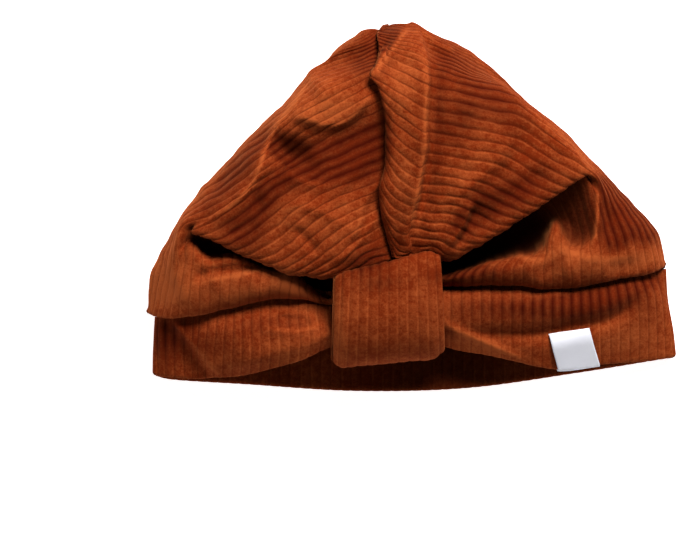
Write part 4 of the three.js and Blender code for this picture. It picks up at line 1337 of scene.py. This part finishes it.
def back_path(outline: SideRib, share: float, seam_y: float, centre_x: float = 0) -> list[Array]:
    """The first points of a rib on the floor: the outline's own path, drawn in to the centre line.

    Args:
        outline: the half's outermost side rib.
        share: how much of the outline's half width is left.
        seam_y: how far up the rib ends.
        centre_x: where it ends across the hat.

    Returns:
        The path up to the outline's shoulder.
    """
    tip_y = outline.mid[1] + TIP_RISE
    path = []
    for p in side_path(outline)[:5]:
        x = share * (p[0] - np.sign(p[0]) * BACK_INSET) + centre_x
        y = p[1] - (0.6 * BACK_INSET if p[1] > 0 else 0)
        start = band_seam_y(x)
        rise = (seam_y - start) / (tip_y - outline.nose[1])
        path.append(point(x, start + (y - outline.nose[1]) * rise, 0))
    path[0][1] = band_seam_y(path[0][0]) + 1
    return path


def back_points(path: list[Array]) -> list[Array]:
    """The points of a back rib up to the row where the others reach the middle of the panel."""
    x, _, z = path[0]
    return plain_points(path, point(x, band_seam_y(x), z), BACK_KNOTS)


def over_points(outline: SideRib, s: OverRib, meets: Array) -> list[Array]:
    """The points of a back rib that turns over the outline beside the tip.

    Args:
        outline: the half's outermost side rib.
        s: the rib's row in the tables.
        meets: where it meets the centre strip.

    Returns:
        Its points up to the row where the others reach the middle of the panel.
    """
    over = point(*s.over, SIDE_HEIGHT)
    return back_points([
        *back_path(outline, s.share, outline.mid[1] + TIP_RISE),
        step(over, point(0, 20, 0), 4.2, 0.4),
        over,
        mix(over, meets, 0.35, SIDE_HEIGHT + 0.7 * (meets[2] - SIDE_HEIGHT)),
    ])


def flat_rib(outline: SideRib, s: BackRib, tail: Sequence[float]) -> list[Array]:
    """A whole rib that stays on the floor up to its end.

    Args:
        outline: the half's outermost side rib.
        s: the rib's row in the tables.
        tail: where its last points lie between the middle of its panel and its end.

    Returns:
        Its points.
    """
    end = point(s.x, s.seam, s.z)
    path = back_path(outline, s.share, s.seam, s.x)
    rest = 1 - s.lead
    lifting = ((s.lead, 0), (1 - 0.56 * rest, 0.1 * s.z), (1 - 0.28 * rest, 0.4 * s.z))
    points = back_points([*path, *(mix(path[-1], end, t, z) for t, z in lifting)])
    return [*points, *(mix(points[-1], end, t) for t in tail)]


def under_strip(points: list[Array], s: StripRib) -> list[Array]:
    """Takes a rib of the left half in under the centre strip.

    Args:
        points: its points up to the middle of the panel.
        s: the rib's row in the tables.

    Returns:
        All its points.
    """
    seam = along(STRIP_EDGE, s.seam) + (0.6 * TUCK, 0, -2 * FOLD - 1.8)
    last = points[-1]
    if last[2] > seam[2]:
        return [*points, mix(last, seam, 0.55, last[2] + 0.4 * (seam[2] - last[2])), seam]
    return [*points, dome(last, seam, 0.6), seam]


def over_strip(points: list[Array], s: StripRib) -> list[Array]:
    """Takes a rib of the right half over the centre strip's ridge and in under its edge.

    Args:
        points: its points up to the middle of the panel.
        s: the rib's row in the tables.

    Returns:
        All its points.
    """
    ridge, seam = along(STRIP_RIDGE, s.ridge), along(STRIP_EDGE, s.seam)
    foot = mix(points[-1], ridge, 0.92)
    return [
        *points,
        dome(points[-1], ridge, 0.5),
        at_height(foot, min(foot[2], ridge[2]) - 1.2),
        ridge,
        mix(ridge, seam, 0.5, (ridge[2] + seam[2]) / 2 + 0.3),
        mix(ridge, seam, 0.86, seam[2] + 0.1),
        seam + (-0.2, 0, -FOLD + 0.4),
        seam + (TUCK, 0, -2 * FOLD + 0.6),
    ]


def rib_net(side: Side) -> Array:
    """The net of ribs of a half, from the front centre round the side to the back seam.

    Args:
        side: the half.

    Returns:
        Points by rib and row.
    """
    half = HALVES[side]
    outline = half.sides[-1]
    end = under_strip if side is Side.LEFT else over_strip

    def meets(s: OverRib) -> Array:
        """Where a rib first meets the centre strip."""
        return along(STRIP_EDGE, s.seam) if side is Side.LEFT else along(STRIP_RIDGE, s.ridge)

    return np.array([
        *(end(pleat_points(s), s) for s in half.pleats),
        *(end(side_points(s, knots), s) for s, knots in zip(half.sides, half.knots)),
        *(end(over_points(outline, s, meets(s)), s) for s in half.overs),
        *(flat_rib(outline, s, half.tail) for s in (half.tip, *BACKS)),
    ])


@dataclass
class CrownHalf:
    """One half of the crown: a single sheet from the band's seam to the centre."""

    side: Side
    finish: bpy.types.Material
    rows: int = 108
    probe: int = 16  # samples of a table's span while lengths are measured
    panel_groove_shade: float = 1.0  # how strong the painted shade is in the grooves between the panel's ribs
    roll_groove_shade: float = 0.5
    net: Array = field(init=False)

    def __post_init__(self) -> None:
        """Lays out the half's ribs."""
        self.net = rib_net(self.side)

    def surface(self, u: Array, v: Array) -> Array:
        """Points of the sheet before its ribs are carved.

        Args:
            u: places across its ribs, from 0 at the front centre to 1 at the back seam.
            v: places along its ribs, from 0 at the band to 1 at the centre.

        Returns:
            The points by column and row.
        """
        across = spline(self.net, u)
        grid = dented(np.swapaxes(spline(np.swapaxes(across, 0, 1), v), 0, 1))
        on_panel = smoothstep(v * (across.shape[1] - 1), *PLEAT_ROWS)
        high = smoothstep(grid[..., 2], *CREASE_HEIGHTS)
        grid = creased(grid, {Part.PANEL: on_panel * high, Part.ROLL: (1 - on_panel) * high})
        # Where the back lies flat, it stops at the seam between the halves.
        x, lying = grid[..., 0], grid[..., 2] < 0.5
        grid[..., 0] = np.where(lying, self.side.value * np.maximum(self.side.value * x, -0.05), x)
        return grid

    def rib_count(self, u: Array, row: float) -> Array:
        """How many ribs lie between the front centre and each place.

        Args:
            u: the places across the half.
            row: the net's row where they are measured.

        Returns:
            The counts.
        """
        at = np.array([row - 0.25, row + 0.25]) / (self.net.shape[1] - 1)
        pair = self.surface(u, at)
        way = pair[:, 1] - pair[:, 0]
        way /= np.maximum(np.linalg.norm(way, axis=-1, keepdims=True), 1e-9)
        mean_way = (way[1:] + way[:-1]) / 2
        wide = np.linalg.norm(np.cross(np.diff(pair.mean(1), axis=0), mean_way), axis=-1)
        return np.concatenate([[0], np.cumsum(wide)]) / RIB_PITCH

    def rib_map(self, probe: Array) -> tuple[Array, Array]:
        """How many ribs lie between the corner and each place.

        Args:
            probe: places across the half.

        Returns:
            The net's rows that were measured, and the counts by place and row.
        """
        spans, points = (n - 1 for n in self.net.shape[:2])
        corner = round(len(HALVES[self.side].pleats) / spans * (len(probe) - 1))
        rows = np.arange(1.5, points, 0.5)
        counts = np.array([self.rib_count(probe, row) for row in rows]).T
        for _ in range(3):
            counts[:, 1:-1] = (counts[:, :-2] + 2 * counts[:, 1:-1] + counts[:, 2:]) / 4
        counts -= counts[corner]
        on_roll, on_panel = (
            counts[:, (rows > low) & (rows < high)].mean(1, keepdims=True)
            for low, high in (ROLL_ROWS, PANEL_ROWS)
        )
        share = smoothstep(rows, *PLEAT_ROWS)
        return rows, EVEN * counts + (1 - EVEN) * (on_roll * (1 - share) + on_panel * share)

    def cavity_shade(self, u: Array, row: Array) -> Array:
        """How much painted shade each place has inside the pleat's cavity.

        Args:
            u: places across the half.
            row: places along it, as rows of the net.

        Returns:
            Shares of painted shade by column and row, from 0 outside to 1.
        """
        half = HALVES[self.side]
        before = u * (len(self.net) - 1) - len(half.pleats)  # ribs from the last pleat, which is at -1
        closing, closed = half.shaded_ribs
        inside = 1 - smoothstep(before, -closing, -closed)
        inside = inside * (1 - 0.3 * smoothstep(before, -3.8, -2.6))
        start = smoothstep(row, half.shaded_row, half.shaded_row + 1.2)
        return inside[:, None] * (start * (1 - smoothstep(row, *CAVITY_SHADE_END_ROWS)))[None]

    def worn(self, grid: Array) -> Array:
        """The sheet with the ends of its folds rounded off.

        Args:
            grid: points by column and row.

        Returns:
            The softened points.
        """
        for end in WORN_ENDS:
            apart = np.hypot(grid[..., 0] - end.x, grid[..., 1] - end.y)
            near = 1 - smoothstep(apart, 0.4 * end.reach, end.reach)
            grid = grid + (softened(grid, end.passes) - grid) * near[..., None]
        return grid

    def carved(self, grid: Array, phase: Array, row: Array) -> Array:
        """The sheet with its ribs, which fade out at its seams and on the floor.

        Args:
            grid: points by column and row.
            phase: how many ribs lie before each point.
            row: the net's row of each of the grid's rows.

        Returns:
            The points above the floor.
        """
        above = smoothstep(grid[..., 2], *RIB_HEIGHTS)
        last = self.net.shape[1] - 1
        ends = smoothstep(row, 1.2, 3) * (1 - smoothstep(row, last - 1.6, last - 0.6))
        sink = RIB_DEPTH * (1 - rib_height(phase)) * (0.3 + 0.7 * above) * (0.15 + 0.85 * ends)
        sink = sink * (0.6 + 0.4 * smoothstep(row, *PLEAT_ROWS)) * (1 - 0.45 * smoothstep(row, 16, 17.5))
        sink -= (0.3 * waves(grid, 15) + 0.15 * waves(grid, 8)) * above * ends
        grid = grid - self.side.value * grid_normals(softened(grid, 2)) * sink[..., None]
        grid[..., 2] = np.maximum(grid[..., 2], 0)
        return grid

    def build(self) -> bpy.types.Object:
        """Models the half and returns it."""
        spans, points = (n - 1 for n in self.net.shape[:2])
        probe = np.linspace(0, 1, spans * self.probe + 1)
        rows, ribs = self.rib_map(probe)
        mean = np.abs(np.diff(ribs, axis=0)).mean(1)
        u = even_places(mean, int(mean.sum() * SAMPLES_PER_RIB))
        sample = self.surface(np.linspace(0.02, 0.6, 12), np.linspace(0, 1, points * self.probe + 1))
        v = even_places(np.linalg.norm(np.diff(sample, axis=1), axis=-1).mean(0), self.rows)
        row = v * points
        grid = self.worn(self.surface(u, v))
        at_rows = np.array([np.interp(row, rows, line) for line in ribs])
        phase = np.array([np.interp(u, probe, line) for line in at_rows.T]).T
        phase = phase + 0.06 * waves(grid, 24) + 0.04 * waves(grid, 9)
        grid = self.carved(grid, phase, row)
        on_panel = smoothstep(row, *PLEAT_ROWS)
        groove_shade = self.roll_groove_shade + (self.panel_groove_shade - self.roll_groove_shade) * on_panel
        fields = {
            "rib": phase,
            "painted_shade": painted_light_and_shade(grid, {Part.PANEL: on_panel, Part.ROLL: 1 - on_panel}),
            "cavity_shade": self.cavity_shade(u, row),
            "groove_shade": np.repeat(groove_shade[None], len(u), 0),
        }
        if self.side is Side.LEFT:
            grid, fields = grid[::-1], {key: values[::-1] for key, values in fields.items()}
        name = f"crown_{self.side.name.lower()}"
        piece = cloth_mesh(name + "_velour", grid, fields)
        thicken(piece, CLOTH, grid)
        dress(piece, self.finish, name)
        return piece


# ---------------------------------------------------------------------------------------------------
# The rim band, the knot loop and the label
# ---------------------------------------------------------------------------------------------------


def band_surface(u: Array, v: Array) -> Array:
    """Points of the band's outer face before its ribs are carved.

    Args:
        u: places round the hat, from 0 to 1.
        v: places down the band, from 0 at its seam to 1 at its rim.

    Returns:
        The points by column and row.
    """
    edges = np.array([[getattr(s, key) for s in BAND] for key in BandSection._fields], float)
    curves = spline(np.swapaxes(edges, 0, 1), u, closed=True)
    grid = np.swapaxes(spline(np.swapaxes(curves, 0, 1), v), 0, 1)
    grid = creased(grid, {Part.BAND: smoothstep(grid[..., 2], *BAND_CREASE_HEIGHTS)})
    grid[..., 2] = np.maximum(grid[..., 2], 0)
    return grid


@dataclass
class RimBand:
    """The doubled strip round the rim, folded along its free edge."""

    finish: bpy.types.Material
    face_rows: int = 30
    turn_rows: int = 7
    probe: int = 16  # samples of a section's span while lengths are measured
    face_ribs: float = 0.5  # the depth of its ribs, as a share of the crown's
    turn_ribs: float = 0.2
    # how strong the painted shade is in the grooves between its ribs
    groove_shade: float = 0.45

    def build(self) -> bpy.types.Object:
        """Models the band and returns it."""
        middle = band_surface(np.linspace(0, 1, len(BAND) * self.probe + 1), np.array([0.55]))[:, 0]
        lengths = np.linalg.norm(np.diff(middle, axis=0), axis=-1)
        ribs = round(lengths.sum() / RIB_PITCH)
        u = even_places(lengths, ribs * SAMPLES_PER_RIB + 1)
        phase = np.linspace(0, ribs, len(u))
        outer = band_surface(u[:-1], np.linspace(0, 1, self.face_rows))
        outer = np.concatenate([outer, outer[:1]])
        normals = -grid_normals(outer, (True, False))
        normals[outer[..., 2] < 1e-6] = (0, 0, -1)
        half = BAND_CLOTH / 2
        core = outer - normals * half
        down = core[:, -1] - core[:, -2]
        down /= np.linalg.norm(down, axis=-1, keepdims=True)
        turns = turned(core[:, -1], normals[:, -1], down, half, self.turn_rows)[1:-1]
        inner = (core - normals * half)[:, ::-1]
        ring_rows = [*np.swapaxes(outer, 0, 1), *turns, *np.swapaxes(inner, 0, 1)]
        grid = np.swapaxes(np.array([*ring_rows, ring_rows[0]]), 0, 1)
        past_face = np.arange(grid.shape[1]) - self.face_rows
        turning = np.abs(past_face - self.turn_rows / 2) < self.turn_rows / 2 + 1
        depth = RIB_DEPTH * np.where(turning, self.turn_ribs, self.face_ribs)
        sink = (1 - rib_height(phase))[:, None] * depth
        grid = grid + grid_normals(grid, (True, True)) * sink[..., None]
        grid[..., 2] = np.maximum(grid[..., 2], 0)
        # Painted shade on the band's inside face, darkest behind the loop.
        loop_shadow = np.exp(-(((grid[..., 0] - 8) / 36) ** 2))
        fields = {
            "rib": np.repeat(phase[:, None], grid.shape[1], 1),
            "painted_shade": painted_light_and_shade(grid, {Part.BAND: 1.0}),
            "groove_shade": np.full(grid.shape[:2], self.groove_shade),
            "cavity_shade": smoothstep(past_face, 0, self.turn_rows) * (0.12 + 0.66 * loop_shadow),
        }
        fields = {key: values[::-1] for key, values in fields.items()}
        piece = cloth_mesh("rim_band_velour", grid[::-1], fields, merge=True)
        dress(piece, self.finish, "rim_band")
        return piece


@dataclass
class KnotLoop:
    """The flattened tube of cloth that is wrapped round the front and gathers it."""

    finish: bpy.types.Material
    columns: int = 84
    rows: int = 96
    turn: int = 8
    ribs: float = 0.5  # their depth, as a share of the crown's
    # how strong the painted shade is in the grooves between its ribs
    groove_shade: float = 0.4
    drop_height: float = 24  # above it, the loop's outer ribs hang down

    def surface(self, u: Array, v: Array) -> Array:
        """Points of the loop's outer face before its ribs are carved.

        Args:
            u: places across the loop, from 0 to 1.
            v: places along it, from 0 at its upper end to 1.

        Returns:
            The points by column and row.
        """
        ribs = np.array([
            [
                (*(np.array(s.upper) + np.subtract(s.lower, s.upper) * row.t),
                 row.z - (s.drop if row.z > self.drop_height else 0))
                for row in LOOP_PATH
            ]
            for s in LOOP
        ])
        return np.swapaxes(spline(np.swapaxes(spline(ribs, u), 0, 1), v), 0, 1)

    def phases(self, outer: Array) -> Array:
        """How many ribs lie before each column of the closed tube.

        Args:
            outer: the points of its outer face.

        Returns:
            The counts, column by column round the tube.
        """
        width = np.linalg.norm(np.diff(outer[:, self.rows // 3], axis=0), axis=-1)
        across = np.concatenate([[0], np.cumsum(width)]) / RIB_PITCH
        edge = LOOP_CLOTH / 2 * math.pi / RIB_PITCH
        edges = np.linspace(0, edge, self.turn)[1:-1]
        whole = across[-1]
        return np.concatenate([
            across,
            whole + edges,
            (whole + edge) + across,
            (2 * whole + edge) + edges,
            [2 * (whole + edge)],
        ])

    def build(self) -> bpy.types.Object:
        """Models the loop and returns it."""
        middle = self.surface(np.array([0.5]), np.linspace(0, 1, 400))[0]
        v = even_places(np.linalg.norm(np.diff(middle, axis=0), axis=-1), self.rows)
        outer = self.surface(np.linspace(0, 1, self.columns), v)
        normals = -grid_normals(outer)
        half = LOOP_CLOTH / 2
        core = outer - normals * half
        side = np.gradient(core, axis=0)
        side /= np.linalg.norm(side, axis=-1, keepdims=True)
        inner = (core - normals * half)[::-1]
        right = turned(core[-1], normals[-1], side[-1], half, self.turn)[1:-1]
        left = turned(core[0], normals[0], -side[0], half, self.turn)[1:-1]
        grid = np.array([*outer, *right, *inner, *left[::-1], outer[0]])
        phase = self.phases(outer)
        sink = self.ribs * RIB_DEPTH * (1 - rib_height(phase))[:, None]
        grid = grid + grid_normals(grid, (True, False)) * sink[..., None]
        fields = {
            "rib": np.repeat(phase[:, None], grid.shape[1], 1),
            "painted_shade": painted_light_and_shade(grid, {}),
            "groove_shade": np.full(grid.shape[:2], self.groove_shade),
        }
        fields = {key: values[::-1] for key, values in fields.items()}
        piece = cloth_mesh("knot_loop_velour", grid[::-1], fields, merge=True)
        select_only(piece)
        bpy.ops.object.mode_set(mode="EDIT")
        bpy.ops.mesh.select_all(action="DESELECT")
        bpy.ops.mesh.select_non_manifold(extend=False)
        bpy.ops.mesh.fill_holes(sides=0)
        bpy.ops.object.mode_set(mode="OBJECT")
        dress(piece, self.finish, "knot_loop")
        return piece


@dataclass
class Label:
    """A plain woven ribbon folded over the rim."""

    finish: bpy.types.Material
    first: float = 14.69  # where its left and right sides start, by the band's sections
    last: float = 15.76
    lean: float = 0.24  # how far it leans to the right on its way down, by the band's sections
    start: float = 0.64  # where its upper edge is, down the band
    slant: float = -0.03
    under: float = 9.0  # how far it runs in under the rim, in millimetres
    flat: float = 0.65  # how flat it is folded round the rim
    columns: int = 24
    rows: int = 26
    turn: int = 12
    tail: int = 8

    def column(self, share: float) -> Array:
        """One line of the ribbon from its upper edge over the rim to its lower end.

        Args:
            share: where the line is, from 0 on the left to 1 on the right.

        Returns:
            The line's points.
        """

        def on_band(du: float, dv: float) -> Array:
            """The line's points on the band, moved a little round the hat or down."""
            places = zip(u + du, v + dv)
            return np.array([band_surface(np.array([a]), np.array([b]))[0, 0] for a, b in places])

        v = np.linspace(self.start + self.slant * share, 1, self.rows)
        left = self.first + (self.last - self.first) * share
        u = (left + self.lean * np.linspace(0, 1, self.rows)) / len(BAND)
        face, above = on_band(0, 0), on_band(0, -0.02)
        normal = np.cross(face - above, on_band(0.002, 0) - on_band(-0.002, 0))
        normal /= np.linalg.norm(normal, axis=-1, keepdims=True)
        down = face[-1] - above[-1]
        down /= np.linalg.norm(down)
        half = BAND_CLOTH / 2
        middle = face[-1] - normal[-1] * half
        turn = turned(middle, normal[-1], self.flat * down, half + LABEL_LIFT, self.turn)[1:]
        tail = [turn[-1] - down * d for d in np.linspace(0, self.under, self.tail)[1:]]
        return np.array([*(face + normal * LABEL_LIFT), *turn, *tail])

    def build(self) -> bpy.types.Object:
        """Models the label and returns it."""
        grid = np.array([self.column(share) for share in np.linspace(0, 1, self.columns)])
        piece = cloth_mesh("label_ribbon", grid[::-1], {})
        thicken(piece, LABEL_CLOTH)
        dress(piece, self.finish, "label")
        return piece


# ---------------------------------------------------------------------------------------------------
# The studio
# ---------------------------------------------------------------------------------------------------


@dataclass
class Studio:
    """The floor, the soft light and the camera straight above."""

    finish: bpy.types.Material
    aim: Place = (-0.0265, -0.0254)
    view_width: float = 0.2482
    height: float = 3.0
    sensor: float = 36  # of the camera, in millimetres

    def floor(self) -> None:
        """Lays the floor."""
        bpy.ops.object.select_all(action="DESELECT")
        bpy.ops.mesh.primitive_plane_add(size=6)
        plane = bpy.context.active_object
        plane.name = "floor"
        plane.data.materials.append(self.finish)

    def light(self, name: str, place: Point, size: float, power: float) -> None:
        """Hangs a soft square light that looks at the hat.

        Args:
            name: the light's name.
            place: where it hangs, in metres.
            size: its side, in metres.
            power: in watts.
        """
        lamp = bpy.data.lights.new(name, "AREA")
        lamp.shape = "SQUARE"
        lamp.size = size
        lamp.energy = power
        holder = bpy.data.objects.new(name, lamp)
        bpy.context.scene.collection.objects.link(holder)
        holder.location = place
        holder.rotation_euler = (-holder.location).to_track_quat("-Z", "Y").to_euler()

    def camera(self) -> None:
        """Puts a long lens straight above."""
        lens = bpy.data.cameras.new("camera")
        lens.sensor_width = self.sensor
        lens.lens = self.sensor * self.height / self.view_width
        lens.clip_end = 20
        holder = bpy.data.objects.new("camera", lens)
        bpy.context.scene.collection.objects.link(holder)
        holder.location = (*self.aim, self.height)
        bpy.context.scene.camera = holder

    def build(self) -> None:
        """Sets up the whole studio."""
        self.floor()
        self.light("key", (0.45, 1.25, 1.4), 0.8, 61)
        self.light("fill", (-0.8, -0.8, 1.3), 1.2, 6)
        world = bpy.data.worlds.new("studio")
        world.use_nodes = True
        sky = world.node_tree.nodes["Background"]
        sky.inputs["Color"].default_value = (1, 1, 1, 1)
        sky.inputs["Strength"].default_value = 0.02
        scene = bpy.context.scene
        scene.world = world
        scene.view_settings.view_transform = "Standard"
        scene.view_settings.gamma = 0.85
        self.camera()


def main() -> None:
    """Builds the beanie's pieces in order, then the studio."""
    logging.basicConfig(level=logging.INFO, format="%(name)s: %(message)s")
    velour = Velour().material()
    for side in Side:
        CrownHalf(side, velour).build()
    RimBand(velour).build()
    KnotLoop(velour).build()
    Label(LabelWeave().material()).build()
    Studio(PaleFloor().material()).build()


if __name__ == "__main__":
    main()
